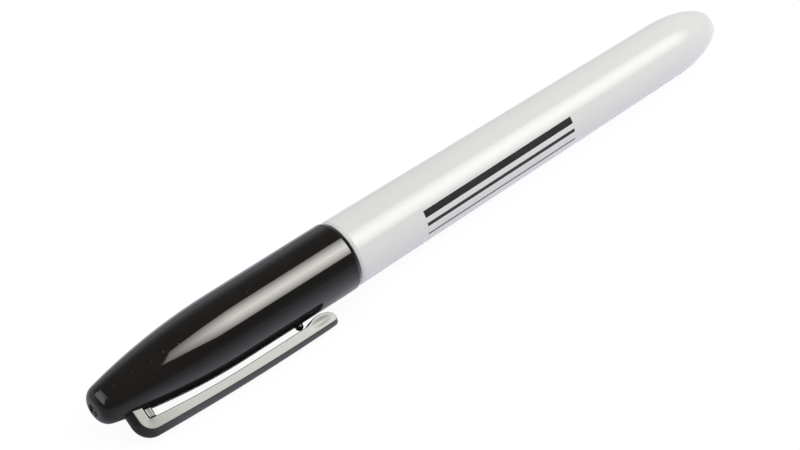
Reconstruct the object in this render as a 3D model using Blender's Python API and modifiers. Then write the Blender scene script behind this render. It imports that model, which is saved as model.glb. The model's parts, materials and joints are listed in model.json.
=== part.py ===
"""Permanent marker with its cap on, lying on the cap and on the edge of its pocket clip.

Each piece is drawn about its own axis: local Z runs from the closed end of the cap to the tail, and
local X points from that axis to the pocket clip. The marker_axis empty then lays local Z along world X.
Heights in the names below are distances along local Z from the closed end. Units are metres.
"""

import math

import bmesh
import bpy
from mathutils import Matrix

MM = 0.001

# Whole marker
TOTAL_LENGTH = 137.0 * MM
FIT_GAP = 0.3 * MM
WELD = 0.01 * MM

# Cap: a straight skirt, a long curve inwards and a rounded closed end with a dimple
CAP_LENGTH = 51.2 * MM
CAP_RADIUS = 6.28 * MM
CAP_WALL = 1.0 * MM
CAP_END_WALL = 5.0 * MM
CAP_TAPER_LENGTH = 27.0 * MM
CAP_TAPER_CURVE = 114.0 * MM
CAP_END_FILLET = 2.3 * MM
CAP_RIM_FILLET = 0.5 * MM
CAP_MOUTH_CHAMFER = 0.25 * MM
DIMPLE_RADIUS = 1.2 * MM
DIMPLE_DEPTH = 0.45 * MM
DIMPLE_DRAFT = 0.15 * MM
GATE_RADIUS = 0.38 * MM
GATE_HEIGHT = 0.27 * MM

# Ball nub on the cap, facing the clip arm
NUB_HEIGHT_ON_CAP = 37.85 * MM
NUB_RADIUS = 0.72 * MM
NUB_STAND = 0.95 * MM

# Pocket clip: a strap with a rounded outer face that leaves the cap at its root, bends and runs back
CLIP_ROOT_HEIGHT = 4.74 * MM
CLIP_ROOT_THICKNESS = 1.76 * MM
CLIP_ROOT_BEND = 2.4 * MM
CLIP_CORNER_FILLET = 0.35 * MM
CLIP_GAP = 1.05 * MM
CLIP_THICKNESS = 1.67 * MM
CLIP_TIP_HEIGHT = 43.9 * MM
CLIP_ROOT_WIDTH = 3.77 * MM
CLIP_TIP_WIDTH = 2.75 * MM
CLIP_ROOT_CROWN = 1.02 * MM
CLIP_TIP_CROWN = 0.66 * MM
CLIP_CROWN_FADE = 1.35 * MM
CLIP_INNER_CURVE = 175.0 * MM
CLIP_INNER_CURVE_END = 27.0 * MM
CLIP_OUTER_CURVE = 500.0 * MM
CLIP_OUTER_CURVE_END = 37.0 * MM
CLIP_EDGE = 0.2 * MM
LOBE_LENGTH = 5.8 * MM
LOBE_RISE_LENGTH = 2.7 * MM
LOBE_RISE = 0.68 * MM
LOBE_TIP_DEPTH = 1.55 * MM
LOBE_OUTER_FILLET = 0.6 * MM
GUSSET_WIDTH = 1.6 * MM
GUSSET_FOOT = 1.8 * MM
GUSSET_HEAD = 1.6 * MM

# Barrel: a short lead at the mouth, a straight taper, a rounded tail and a small flat at its end
BARREL_RADIUS = 6.12 * MM
BARREL_TAIL_RADIUS = 5.24 * MM
BARREL_LEAD_LENGTH = 0.8 * MM
BARREL_LEAD_DROP = 0.25 * MM
BARREL_EDGE_FILLET = 0.2 * MM
TAIL_LENGTH = 10.6 * MM
TAIL_FLAT_RADIUS = 2.0 * MM
TAIL_WALL = 1.05 * MM
TAIL_END_WALL = 7.5 * MM
BORE_END_FILLET = 1.5 * MM

# Front section: plug in the barrel, neck in the cap, land for the seal, nose round the nib
PLUG_LENGTH = 5.5 * MM
PLUG_CHAMFER = 0.4 * MM
PLUG_HOLLOW_RADIUS = 3.0 * MM
NECK_LENGTH = 15.2 * MM
NECK_SEAT = 0.28 * MM
NECK_CHAMFER = 0.4 * MM
BEAD_HEIGHT = 0.15 * MM
BEAD_HALF_LENGTH = 0.8 * MM
BEAD_FROM_SHOULDER = 5.0 * MM
LAND_LENGTH = 3.0 * MM
NOSE_LENGTH = 14.0 * MM
NOSE_TIP_WALL = 0.4 * MM
NOSE_STEP = 0.5 * MM
NOSE_HOLLOW = 1.3
THROAT_LENGTH = 4.0 * MM

# Nib and ink
NIB_RADIUS = 1.2 * MM
NIB_TIP_RADIUS = 0.5 * MM
NIB_EXPOSED = 4.0 * MM
NIB_INSERTION = 4.0 * MM
NIB_POINT = 1.2 * MM
RESERVOIR_CHAMFER = 0.3 * MM
FILM_THICKNESS = 0.2 * MM

# Inner cup of the cap
SEAL_WALL = 0.7 * MM
SEAL_LIP_CHAMFER = 0.2 * MM

# Facets round each turned piece
CAP_STEPS = 48
BARREL_STEPS = 48
SECTION_STEPS = 40
CORE_STEPS = 32
NUB_STEPS = 16
ARC_POINTS = 6
CURVE_POINTS = 8

# Sizes that follow from the ones above
CAP_BORE = CAP_RADIUS - CAP_WALL
SHOULDER = CAP_LENGTH + FIT_GAP
NECK_RADIUS = CAP_BORE - FIT_GAP - BEAD_HEIGHT
BORE_MOUTH_RADIUS = NECK_RADIUS - NECK_SEAT
BORE_END_RADIUS = BARREL_TAIL_RADIUS - TAIL_WALL
BORE_END = TOTAL_LENGTH - TAIL_END_WALL
TAIL_START = TOTAL_LENGTH - TAIL_LENGTH
SECTION_SHOULDER = SHOULDER - FIT_GAP
PLUG_END = SECTION_SHOULDER + PLUG_LENGTH
NECK_END = SECTION_SHOULDER - NECK_LENGTH
LAND_END = NECK_END - LAND_LENGTH
NOSE_END = LAND_END - NOSE_LENGTH
NIB_TIP = NOSE_END - NIB_EXPOSED
NIB_BORE = NIB_RADIUS + FIT_GAP
RESERVOIR_START = PLUG_END + FIT_GAP
RESERVOIR_END = BORE_END - BORE_END_FILLET
FILM_RADIUS = min(BORE_MOUTH_RADIUS, BORE_END_RADIUS) - FIT_GAP
RESERVOIR_RADIUS = FILM_RADIUS - FILM_THICKNESS - FIT_GAP
SEAL_START = CAP_END_WALL + FIT_GAP
SEAL_LIP = NECK_END - FIT_GAP
SEAL_LIP_RADIUS = CAP_BORE - FIT_GAP - SEAL_WALL
LAND_RADIUS = SEAL_LIP_RADIUS - FIT_GAP
CLIP_INNER_RADIUS = CAP_RADIUS + CLIP_GAP
CLIP_OUTER_RADIUS = CLIP_INNER_RADIUS + CLIP_THICKNESS
CLIP_ROOT_END = CLIP_ROOT_HEIGHT + CLIP_ROOT_THICKNESS
LOBE_START = CLIP_TIP_HEIGHT - LOBE_LENGTH
LOBE_CREST = LOBE_START + LOBE_RISE_LENGTH


def arc(centre, radius, start, end, count=ARC_POINTS):
    """Points on a circle about centre, from one angle in degrees to another, both ends included."""
    turns = [math.radians(start + (end - start) * i / count) for i in range(count + 1)]
    return [(centre[0] + radius * math.cos(a), centre[1] + radius * math.sin(a)) for a in turns]


def spaced(start, end, count=CURVE_POINTS):
    """Evenly spaced values from start to end, both included."""
    return [start + (end - start) * i / count for i in range(count + 1)]


def cap_radius_at(height):
    """Outer radius of the cap's skirt and its long curve, above the rounded end."""
    inward = max(0.0, CAP_TAPER_LENGTH - height)
    return CAP_RADIUS - CAP_TAPER_CURVE + math.sqrt(CAP_TAPER_CURVE**2 - inward**2)


def barrel_bore_at(height):
    """Radius of the barrel's drafted bore."""
    share = (height - SHOULDER) / (BORE_END - SHOULDER)
    return BORE_MOUTH_RADIUS + (BORE_END_RADIUS - BORE_MOUTH_RADIUS) * share


def clip_inner_at(height):
    """Radius of the clip arm's face towards the cap."""
    inward = max(0.0, CLIP_INNER_CURVE_END - height)
    return CLIP_INNER_RADIUS - CLIP_INNER_CURVE + math.sqrt(CLIP_INNER_CURVE**2 - inward**2)


def clip_outer_at(height):
    """Radius of the two edges of the clip arm's outer face."""
    inward = CLIP_OUTER_CURVE_END - height
    return CLIP_OUTER_RADIUS - CLIP_OUTER_CURVE + math.sqrt(CLIP_OUTER_CURVE**2 - inward**2)


def clip_share_at(height):
    """Share of the way from the clip's root to its tip."""
    return (height - CLIP_ROOT_HEIGHT) / (CLIP_TIP_HEIGHT - CLIP_ROOT_HEIGHT)


def clip_half_width_at(height):
    """Half the clip's width, which narrows evenly from root to tip."""
    return (CLIP_ROOT_WIDTH + (CLIP_TIP_WIDTH - CLIP_ROOT_WIDTH) * clip_share_at(height)) / 2


def clip_crown_at(height):
    """Height of the middle of the clip's outer face above its two edges."""
    return CLIP_ROOT_CROWN + (CLIP_TIP_CROWN - CLIP_ROOT_CROWN) * clip_share_at(height)


def new_material(name, colour, roughness):
    """Plain plastic or fibre of one colour."""
    material = bpy.data.materials.new(name)
    material.use_nodes = True
    shader = material.node_tree.nodes["Principled BSDF"]
    shader.inputs["Base Color"].default_value = (*colour, 1.0)
    shader.inputs["Roughness"].default_value = roughness
    shader.inputs["Metallic"].default_value = 0.0
    return material


def new_collection(name):
    """A collection in the scene."""
    collection = bpy.data.collections.new(name)
    bpy.context.scene.collection.children.link(collection)
    return collection


def new_empty(name, collection, parent=None, location=(0.0, 0.0, 0.0)):
    """An empty that marks an axis and carries the pieces that move with it."""
    empty = bpy.data.objects.new(name, None)
    empty.empty_display_size = CAP_RADIUS
    empty.parent = parent
    empty.location = location
    collection.objects.link(empty)
    return empty


def add_piece(name, mesh, collection, parent, material=None):
    """Put a mesh in the scene as a named piece under its axis."""
    piece = bpy.data.objects.new(name, mesh)
    piece.parent = parent
    collection.objects.link(piece)
    if material:
        mesh.materials.append(material)
    return piece


def turned(name, profile, steps, collection, parent, material=None, closed=False):
    """Turn a profile of (radius, height) points, which runs down its outer side, about local Z."""
    edges = [(i, i + 1) for i in range(len(profile) - 1)]
    if closed:
        edges.append((len(profile) - 1, 0))
    mesh = bpy.data.meshes.new(name)
    mesh.from_pydata([(radius, 0.0, height) for radius, height in profile], edges, [])
    piece = add_piece(name, mesh, collection, parent, material)
    screw = piece.modifiers.new("Turn", "SCREW")
    screw.steps = steps
    screw.render_steps = steps
    screw.use_merge_vertices = True
    screw.merge_threshold = WELD
    screw.use_smooth_shade = True
    return piece


def piece_from(name, shape, collection, parent, material=None):
    """Put a bmesh in the scene with its faces turned outwards."""
    bmesh.ops.recalc_face_normals(shape, faces=shape.faces)
    mesh = bpy.data.meshes.new(name)
    shape.to_mesh(mesh)
    shape.free()
    return add_piece(name, mesh, collection, parent, material)


def plate(name, outline, width, collection, parent):
    """A plate across local Y with an outline of (height, radius) points."""
    shape = bmesh.new()
    side = shape.faces.new([shape.verts.new((radius, -width / 2, height)) for height, radius in outline])
    pulled = bmesh.ops.extrude_face_region(shape, geom=[side])
    moved = [item for item in pulled["geom"] if isinstance(item, bmesh.types.BMVert)]
    bmesh.ops.translate(shape, verts=moved, vec=(0.0, width, 0.0))
    return piece_from(name, shape, collection, parent)


def loft(name, rings, collection, parent, material=None):
    """A solid through rings that have the same number of points, closed at both ends."""
    shape = bmesh.new()
    corners = [[shape.verts.new(point) for point in ring] for ring in rings]
    for one, two in zip(corners, corners[1:]):
        for i in range(len(one)):
            shape.faces.new((one[i - 1], one[i], two[i], two[i - 1]))
    shape.faces.new(corners[0])
    shape.faces.new(corners[-1])
    return piece_from(name, shape, collection, parent, material)


def combine(piece, other, operation):
    """Join another shape to a piece, or cut it away."""
    boolean = piece.modifiers.new(other.name, "BOOLEAN")
    boolean.operation = operation
    boolean.solver = "EXACT"
    boolean.object = other
    other.hide_render = True
    other.display_type = "WIRE"


def cap_end_profile():
    """Rounded closed end of the cap with its dimple and the gate mark inside it, down to the axis."""
    reach = math.sqrt((CAP_TAPER_CURVE - CAP_END_FILLET) ** 2 - (CAP_TAPER_LENGTH - CAP_END_FILLET) ** 2)
    centre = (CAP_RADIUS - CAP_TAPER_CURVE + reach, CAP_END_FILLET)
    lean = math.asin((CAP_TAPER_LENGTH - CAP_END_FILLET) / (CAP_TAPER_CURVE - CAP_END_FILLET))
    past_centre = max(0.0, DIMPLE_RADIUS - centre[0])
    last = -90.0 + math.degrees(math.asin(past_centre / CAP_END_FILLET))
    end = arc(centre, CAP_END_FILLET, -math.degrees(lean), last)
    face = end[-1][1]
    floor = face + DIMPLE_DEPTH
    return end + [
        (DIMPLE_RADIUS - DIMPLE_DRAFT / 3, face + DIMPLE_DRAFT / 3),
        (DIMPLE_RADIUS - DIMPLE_DRAFT, floor),
        (GATE_RADIUS + DIMPLE_DRAFT, floor),
        (GATE_RADIUS, floor - GATE_HEIGHT),
        (0.0, floor - GATE_HEIGHT),
    ]


def cap_shell(collection, helpers, parent, material):
    """Cap: inner wall from its end to the rim, over the rim, then down the outside to the dimple."""
    inner = [(0.0, CAP_END_WALL)]
    inner += [(cap_radius_at(h) - CAP_WALL, h) for h in spaced(CAP_END_WALL, CAP_TAPER_LENGTH)]
    mouth = [
        (CAP_BORE, CAP_LENGTH - CAP_MOUTH_CHAMFER),
        (CAP_BORE + CAP_MOUTH_CHAMFER, CAP_LENGTH),
    ]
    rim = arc((CAP_RADIUS - CAP_RIM_FILLET, CAP_LENGTH - CAP_RIM_FILLET), CAP_RIM_FILLET, 90, 0, 4)
    end = cap_end_profile()
    outer = [(cap_radius_at(h), h) for h in spaced(CAP_TAPER_LENGTH, end[0][1])]
    profile = inner + mouth + rim + outer[:-1] + end
    cap = turned("cap_shell", profile, CAP_STEPS, collection, parent, material)

    crown = arc((0.0, NUB_STAND - NUB_RADIUS), NUB_RADIUS, 90, 0)
    crown[0] = (0.0, NUB_STAND)
    peg = crown + [(NUB_RADIUS, -CAP_WALL / 2), (0.0, -CAP_WALL / 2)]
    nub = turned("nub_form", peg, NUB_STEPS, helpers, parent)
    nub.location = (CAP_RADIUS, 0.0, NUB_HEIGHT_ON_CAP)
    nub.rotation_euler = (0.0, math.pi / 2, 0.0)
    combine(cap, nub, "UNION")
    return cap


def clip_base_radius():
    """Radius inside the cap's wall from which the root and its web are drawn, before they are trimmed."""
    return cap_radius_at(CLIP_ROOT_HEIGHT) - CAP_WALL


def clip_edges():
    """Edges of the clip's outer and inner faces in side view, point by point as (height, radius): out along
    the root, round the bend, down the arm and over the lobe to the tip."""
    base = clip_base_radius()
    bend = CLIP_ROOT_HEIGHT + CLIP_ROOT_BEND
    corner = CLIP_ROOT_END + CLIP_CORNER_FILLET
    outer = [(CLIP_ROOT_HEIGHT, base)]
    outer += arc((bend, clip_outer_at(bend) - CLIP_ROOT_BEND), CLIP_ROOT_BEND, 180, 90)
    outer += [(h, clip_outer_at(h)) for h in spaced(bend, LOBE_START)[1:]]
    outer += [(h, clip_outer_at(h)) for h in spaced(LOBE_START, LOBE_CREST)[1:]]
    inner = [(CLIP_ROOT_END, base)]
    inner += arc((corner, clip_inner_at(corner) - CLIP_CORNER_FILLET), CLIP_CORNER_FILLET, 180, 90)
    inner += [(h, clip_inner_at(h)) for h in spaced(corner, LOBE_START)[1:]]
    for share in spaced(0.0, 1.0)[1:]:
        rise = LOBE_RISE * (1 - math.cos(math.pi * share)) / 2
        inner.append((LOBE_START + LOBE_RISE_LENGTH * share, CLIP_INNER_RADIUS - rise))
    outer_end = CLIP_TIP_HEIGHT - LOBE_OUTER_FILLET
    outer += [(h, clip_outer_at(h)) for h in spaced(LOBE_CREST, outer_end, ARC_POINTS // 2)[1:-1]]
    tip_centre = (outer_end, clip_outer_at(outer_end) - LOBE_OUTER_FILLET)
    outer += arc(tip_centre, LOBE_OUTER_FILLET, 90, 15, ARC_POINTS // 2)
    for turn in spaced(0.0, math.radians(80), ARC_POINTS)[1:]:
        along = (CLIP_TIP_HEIGHT - LOBE_CREST) * math.sin(turn)
        across = LOBE_TIP_DEPTH * (1 - math.cos(turn))
        inner.append((LOBE_CREST + along, CLIP_INNER_RADIUS - LOBE_RISE + across))
    return outer, inner


def clip_rings():
    """Sections of the clip from root to tip: a flat inner face, two flat sides and a rounded outer face,
    which bulges less where the tip thins out."""
    outer, inner = clip_edges()
    rings = []
    for i, (edge, face) in enumerate(zip(outer, inner)):
        before, after = outer[max(0, i - 1)], outer[min(len(outer) - 1, i + 1)]
        step = math.dist(before, after)
        out = ((before[1] - after[1]) / step, (after[0] - before[0]) / step)
        half = clip_half_width_at(edge[0])
        crown = clip_crown_at(edge[0]) * min(1.0, math.dist(edge, face) / CLIP_CROWN_FADE)
        bow = (half**2 + crown**2) / (2 * crown)
        ring = [(face[1], half, face[0]), (face[1], -half, face[0])]
        for y in spaced(-half, half, ARC_POINTS):
            rise = math.sqrt(bow**2 - y**2) - bow + crown
            ring.append((edge[1] + rise * out[1], y, edge[0] + rise * out[0]))
        rings.append(ring)
    return rings


def gusset_outline():
    """Web in the inner corner of the clip, with its foot on the cap and its head on the arm."""
    base = clip_base_radius()
    inside = CLIP_ROOT_END - CLIP_ROOT_THICKNESS / 2
    foot = CLIP_ROOT_END + GUSSET_FOOT
    head = CLIP_ROOT_END + GUSSET_HEAD
    sunk = clip_inner_at(head) + CLIP_THICKNESS / 3
    return [(inside, base), (foot, base), (head, clip_inner_at(head)), (head, sunk), (inside, sunk)]


def pocket_clip(collection, helpers, parent, material):
    """Clip strap with its gusset, trimmed to stand clear of the cap by the fit gap, on the axis that it
    flexes about: across the marker, at the root's corner towards the closed end."""
    pivot = (cap_radius_at(CLIP_ROOT_HEIGHT) + FIT_GAP, 0.0, CLIP_ROOT_HEIGHT)
    hinge = new_empty("clip_hinge", collection, parent, pivot)
    clip = loft("pocket_clip", clip_rings(), collection, hinge, material)
    clip.location = (-pivot[0], 0.0, -pivot[2])
    bevel = clip.modifiers.new("Edges", "BEVEL")
    bevel.width = CLIP_EDGE
    bevel.segments = 2
    bevel.limit_method = "ANGLE"
    bevel.angle_limit = math.radians(60)
    web = plate("gusset_form", gusset_outline(), GUSSET_WIDTH, helpers, parent)
    combine(clip, web, "UNION")
    heights = spaced(CAP_TAPER_LENGTH, 0.0)
    trim = [(0.0, CAP_TAPER_LENGTH)] + [(cap_radius_at(h) + FIT_GAP, h) for h in heights] + [(0.0, 0.0)]
    cap_space = turned("cap_space_form", trim, CAP_STEPS, helpers, parent)
    combine(clip, cap_space, "DIFFERENCE")
    return clip


def cap_seal(collection, parent, material):
    """Inner cup: closed towards the cap's end, its lip round the land of the front section."""
    def wall_at(height):
        return cap_radius_at(height) - CAP_WALL - FIT_GAP

    floor = SEAL_START + SEAL_WALL
    heights = spaced(floor, CAP_TAPER_LENGTH)
    inner = [(0.0, floor)] + [(wall_at(h) - SEAL_WALL, h) for h in heights]
    lip = [
        (SEAL_LIP_RADIUS, SEAL_LIP - SEAL_LIP_CHAMFER),
        (SEAL_LIP_RADIUS + SEAL_LIP_CHAMFER, SEAL_LIP),
        (CAP_BORE - FIT_GAP, SEAL_LIP),
    ]
    outer = [(wall_at(h), h) for h in spaced(CAP_TAPER_LENGTH, SEAL_START)]
    profile = inner + lip + outer + [(0.0, SEAL_START)]
    return turned("cap_seal", profile, SECTION_STEPS, collection, parent, material)


def barrel(collection, parent, material):
    """Barrel: from the tail's flat, round the tail, along the taper, over the lead, then up the bore."""
    flat = math.asin(TAIL_FLAT_RADIUS / BARREL_TAIL_RADIUS)
    tail = [(0.0, TOTAL_LENGTH)]
    for turn in spaced(flat, math.pi / 2, 2 * ARC_POINTS):
        share = math.cos(turn) / math.cos(flat)
        tail.append((BARREL_TAIL_RADIUS * math.sin(turn), TAIL_START + TAIL_LENGTH * share))
    lead_radius = BARREL_RADIUS - BARREL_LEAD_DROP
    slope = math.degrees(math.atan2(BARREL_LEAD_DROP, BARREL_LEAD_LENGTH - BARREL_EDGE_FILLET))
    edge_centre = (lead_radius - BARREL_EDGE_FILLET, SHOULDER + BARREL_EDGE_FILLET)
    lead = [(BARREL_RADIUS, SHOULDER + BARREL_LEAD_LENGTH)]
    lead += arc(edge_centre, BARREL_EDGE_FILLET, -slope, -90, 3)
    mouth = [(BORE_MOUTH_RADIUS, SHOULDER)]
    bore_centre = (BORE_END_RADIUS - BORE_END_FILLET, BORE_END - BORE_END_FILLET)
    bore = arc(bore_centre, BORE_END_FILLET, 0, 90, 4) + [(0.0, BORE_END)]
    return turned("barrel", tail + lead + mouth + bore, BARREL_STEPS, collection, parent, material)


def nib_holder(collection, parent, material):
    """Front section, bored for the nib and hollow behind its throat."""
    plug = [
        (barrel_bore_at(PLUG_END) - FIT_GAP - PLUG_CHAMFER, PLUG_END),
        (barrel_bore_at(PLUG_END) - FIT_GAP, PLUG_END - PLUG_CHAMFER),
        (barrel_bore_at(PLUG_END) - FIT_GAP, SECTION_SHOULDER),
    ]
    bead = SECTION_SHOULDER - BEAD_FROM_SHOULDER
    neck = [(NECK_RADIUS, SECTION_SHOULDER)]
    for share in spaced(1.0, -1.0, ARC_POINTS):
        rise = BEAD_HEIGHT * (1 + math.cos(math.pi * share)) / 2
        neck.append((NECK_RADIUS + rise, bead + BEAD_HALF_LENGTH * share))
    neck += [(NECK_RADIUS, NECK_END + NECK_CHAMFER), (NECK_RADIUS - NECK_CHAMFER, NECK_END)]
    land = [(LAND_RADIUS, NECK_END), (LAND_RADIUS, LAND_END)]
    tip_radius = NIB_BORE + NOSE_TIP_WALL
    nose = []
    for share in spaced(1.0, 0.0):
        spread = (LAND_RADIUS - NOSE_STEP - tip_radius) * share**NOSE_HOLLOW
        nose.append((tip_radius + spread, NOSE_END + NOSE_LENGTH * share))
    bore = [
        (NIB_BORE, NOSE_END),
        (NIB_BORE, NECK_END),
        (PLUG_HOLLOW_RADIUS, NECK_END + THROAT_LENGTH),
        (PLUG_HOLLOW_RADIUS, PLUG_END),
    ]
    profile = plug + neck + land + nose + bore
    return turned("nib_holder", profile, SECTION_STEPS, collection, parent, material, closed=True)


def nib(collection, parent, material):
    """Fibre rod with a pointed rear end in the reservoir and a rounded writing tip."""
    rear = RESERVOIR_START + NIB_INSERTION
    round_tip = arc((0.0, NIB_TIP + NIB_TIP_RADIUS), NIB_TIP_RADIUS, 0, -90, 4)
    round_tip[-1] = (0.0, NIB_TIP)
    profile = [
        (0.0, rear),
        (NIB_RADIUS / 2, rear),
        (NIB_RADIUS, rear - NIB_POINT),
        (NIB_RADIUS, NOSE_END - NIB_EXPOSED / 4),
    ]
    return turned("nib", profile + round_tip, CORE_STEPS, collection, parent, material)


def ink_reservoir(collection, parent, material):
    """Fibre rod with a blind hole for the rear end of the nib."""
    hole_end = RESERVOIR_START + NIB_INSERTION + FIT_GAP
    profile = [
        (0.0, RESERVOIR_END),
        (RESERVOIR_RADIUS - RESERVOIR_CHAMFER, RESERVOIR_END),
        (RESERVOIR_RADIUS, RESERVOIR_END - RESERVOIR_CHAMFER),
        (RESERVOIR_RADIUS, RESERVOIR_START + RESERVOIR_CHAMFER),
        (RESERVOIR_RADIUS - RESERVOIR_CHAMFER, RESERVOIR_START),
        (NIB_BORE, RESERVOIR_START),
        (NIB_BORE, hole_end),
        (0.0, hole_end),
    ]
    return turned("ink_reservoir", profile, CORE_STEPS, collection, parent, material)


def reservoir_film(collection, parent, material):
    """Thin tube round the reservoir."""
    profile = [
        (FILM_RADIUS, RESERVOIR_END),
        (FILM_RADIUS, RESERVOIR_START),
        (FILM_RADIUS - FILM_THICKNESS, RESERVOIR_START),
        (FILM_RADIUS - FILM_THICKNESS, RESERVOIR_END),
    ]
    return turned("reservoir_film", profile, CORE_STEPS, collection, parent, material, closed=True)


def clip_points():
    """All the corners of the clip's sections, as (x, y, z) in the marker's own frame."""
    return [point for ring in clip_rings() for point in ring]


def resting_turn():
    """Angle of the clip below level at which the clip and the cap both touch the surface."""
    low, high = 0.0, math.pi / 2
    while high - low > math.radians(0.0001):
        turn = (low + high) / 2
        reach = max(x * math.sin(turn) + y * math.cos(turn) for x, y, z in clip_points())
        low, high = (turn, high) if reach < CAP_RADIUS else (low, turn)
    return low


def marker_axis(collection):
    """Empty that lays the marker down, centred over the origin, with its clip on the surface."""
    turn = resting_turn()
    clip_side = max(x * math.cos(turn) - y * math.sin(turn) for x, y, z in clip_points())
    place = Matrix.Translation((-TOTAL_LENGTH / 2, (clip_side - CAP_RADIUS) / 2, CAP_RADIUS))
    lay = Matrix.Rotation(turn - math.pi / 2, 4, "X") @ Matrix.Rotation(math.pi / 2, 4, "Y")
    empty = new_empty("marker_axis", collection)
    empty.matrix_world = place @ lay
    return empty


def main():
    """Build the marker in an empty scene."""
    for item in list(bpy.data.objects):
        bpy.data.objects.remove(item, do_unlink=True)
    parts = new_collection("permanent_marker")
    helpers = new_collection("marker_forms")

    black = new_material("glossy_black_plastic", (0.012, 0.012, 0.011), 0.15)
    pale = new_material("pale_grey_plastic", (0.76, 0.76, 0.74), 0.22)
    dark = new_material("satin_black_plastic", (0.02, 0.02, 0.02), 0.35)
    felt = new_material("inked_fibre", (0.01, 0.01, 0.012), 0.85)
    soaked = new_material("inked_wadding", (0.03, 0.03, 0.04), 0.9)
    clear = new_material("film", (0.8, 0.82, 0.84), 0.2)
    white = new_material("white_liner_plastic", (0.8, 0.8, 0.78), 0.35)

    axis = marker_axis(parts)
    barrel(parts, axis, pale)
    nib_holder(parts, axis, dark)
    nib(parts, axis, felt)
    ink_reservoir(parts, axis, soaked)
    reservoir_film(parts, axis, clear)

    cap_axis = new_empty("cap_axis", parts, axis)
    cap_shell(parts, helpers, cap_axis, black)
    cap_seal(parts, cap_axis, white)
    pocket_clip(parts, helpers, cap_axis, black)


if __name__ == "__main__":
    main()
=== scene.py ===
"""Looks of a capped permanent marker: black cap with a pocket clip, pale barrel, writing parts inside.

Every piece is drawn in the marker's own frame: Z runs along the axis from the closed end of the cap to
the tail, and X points from the axis to the pocket clip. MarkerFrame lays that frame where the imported
nodes are. Fields that are sizes are in metres, and those that are angles in degrees.
"""

import json
import logging
import math
from dataclasses import dataclass
from enum import Enum
from typing import Any, Sequence

import bmesh
import bpy
from mathutils import Matrix, Vector

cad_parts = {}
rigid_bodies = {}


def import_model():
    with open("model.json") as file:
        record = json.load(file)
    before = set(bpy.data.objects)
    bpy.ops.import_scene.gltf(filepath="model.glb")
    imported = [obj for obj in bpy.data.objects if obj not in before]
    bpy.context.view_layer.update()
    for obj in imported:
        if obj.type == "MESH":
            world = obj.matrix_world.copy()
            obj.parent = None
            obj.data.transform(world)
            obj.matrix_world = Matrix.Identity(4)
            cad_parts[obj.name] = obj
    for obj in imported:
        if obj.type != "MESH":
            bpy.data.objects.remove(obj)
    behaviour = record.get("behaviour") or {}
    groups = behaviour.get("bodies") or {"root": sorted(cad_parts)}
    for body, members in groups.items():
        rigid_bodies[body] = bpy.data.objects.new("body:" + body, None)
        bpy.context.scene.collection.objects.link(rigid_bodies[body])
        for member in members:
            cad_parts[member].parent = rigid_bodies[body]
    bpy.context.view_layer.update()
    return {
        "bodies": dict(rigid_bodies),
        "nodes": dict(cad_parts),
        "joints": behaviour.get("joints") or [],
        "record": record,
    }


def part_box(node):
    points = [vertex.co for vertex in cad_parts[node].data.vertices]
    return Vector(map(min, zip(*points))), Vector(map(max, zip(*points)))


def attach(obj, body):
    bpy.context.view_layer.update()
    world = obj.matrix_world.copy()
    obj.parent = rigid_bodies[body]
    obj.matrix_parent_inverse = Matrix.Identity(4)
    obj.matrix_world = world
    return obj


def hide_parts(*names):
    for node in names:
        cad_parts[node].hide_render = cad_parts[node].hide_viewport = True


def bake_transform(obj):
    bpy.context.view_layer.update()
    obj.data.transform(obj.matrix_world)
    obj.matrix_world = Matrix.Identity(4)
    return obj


LOG = logging.getLogger("marker")
MM = 0.001
WELD = 0.0005 * MM
SUPPORT = 0.04 * MM
FILLET_REACH = 0.45
FILLET_STEPS = 6
SMOOTH_ANGLE = math.radians(40)
SPECK_CELLS = 0.8 / MM
CLOUD_BAND = (0.35, 0.7)
HAIRLINE_BAND = (0.66, 0.76)
STREAK_BAND = (0.4, 0.75)
MIDDLE_BAND = (0.3, 0.7)
STRAND_SIDES = 5
STRAND_SWAY = 0.4
STRAND_SEED = 7
STRIPE_GRID = (13, 25)
MIX_FIRST = 6
MIX_SECOND = 7
WHITE = (1.0, 1.0, 1.0, 1.0)

Point = tuple[float, float]
Corner = tuple[float, float, float]
Colour = tuple[float, float, float]
Place = tuple[float, float, float]
Piece = bpy.types.Object
Material = bpy.types.Material
Socket = bpy.types.NodeSocket


class Body(Enum):
    """Moving bodies of the marker."""

    BARREL = "barrel"
    CAP = "cap"
    CLIP = "clip"


class Slot(Enum):
    """Material slots of the record."""

    CAP = "cap_black"
    BARREL = "barrel_pale"
    SECTION = "section_dark"
    LINER = "seal_liner"
    NIB = "nib_felt"
    INK = "ink_fibre"
    FILM = "film_clear"


def spaced(start: float, end: float, count: int) -> list[float]:
    """Values from start to end in a number of even steps, both ends included."""
    return [start + (end - start) * i / count for i in range(count + 1)]


def arc(centre: Point, radius: float, start: float, end: float, count: int) -> list[Point]:
    """Points on a circle from one angle in degrees to another, both ends included."""
    turns = [math.radians(turn) for turn in spaced(start, end, count)]
    return [(centre[0] + radius * math.cos(a), centre[1] + radius * math.sin(a)) for a in turns]


def sharp(points: Sequence[Point]) -> list[Corner]:
    """Corners without a fillet, as on a finely stepped curve."""
    return [(radius, height, 0.0) for radius, height in points]


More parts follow.
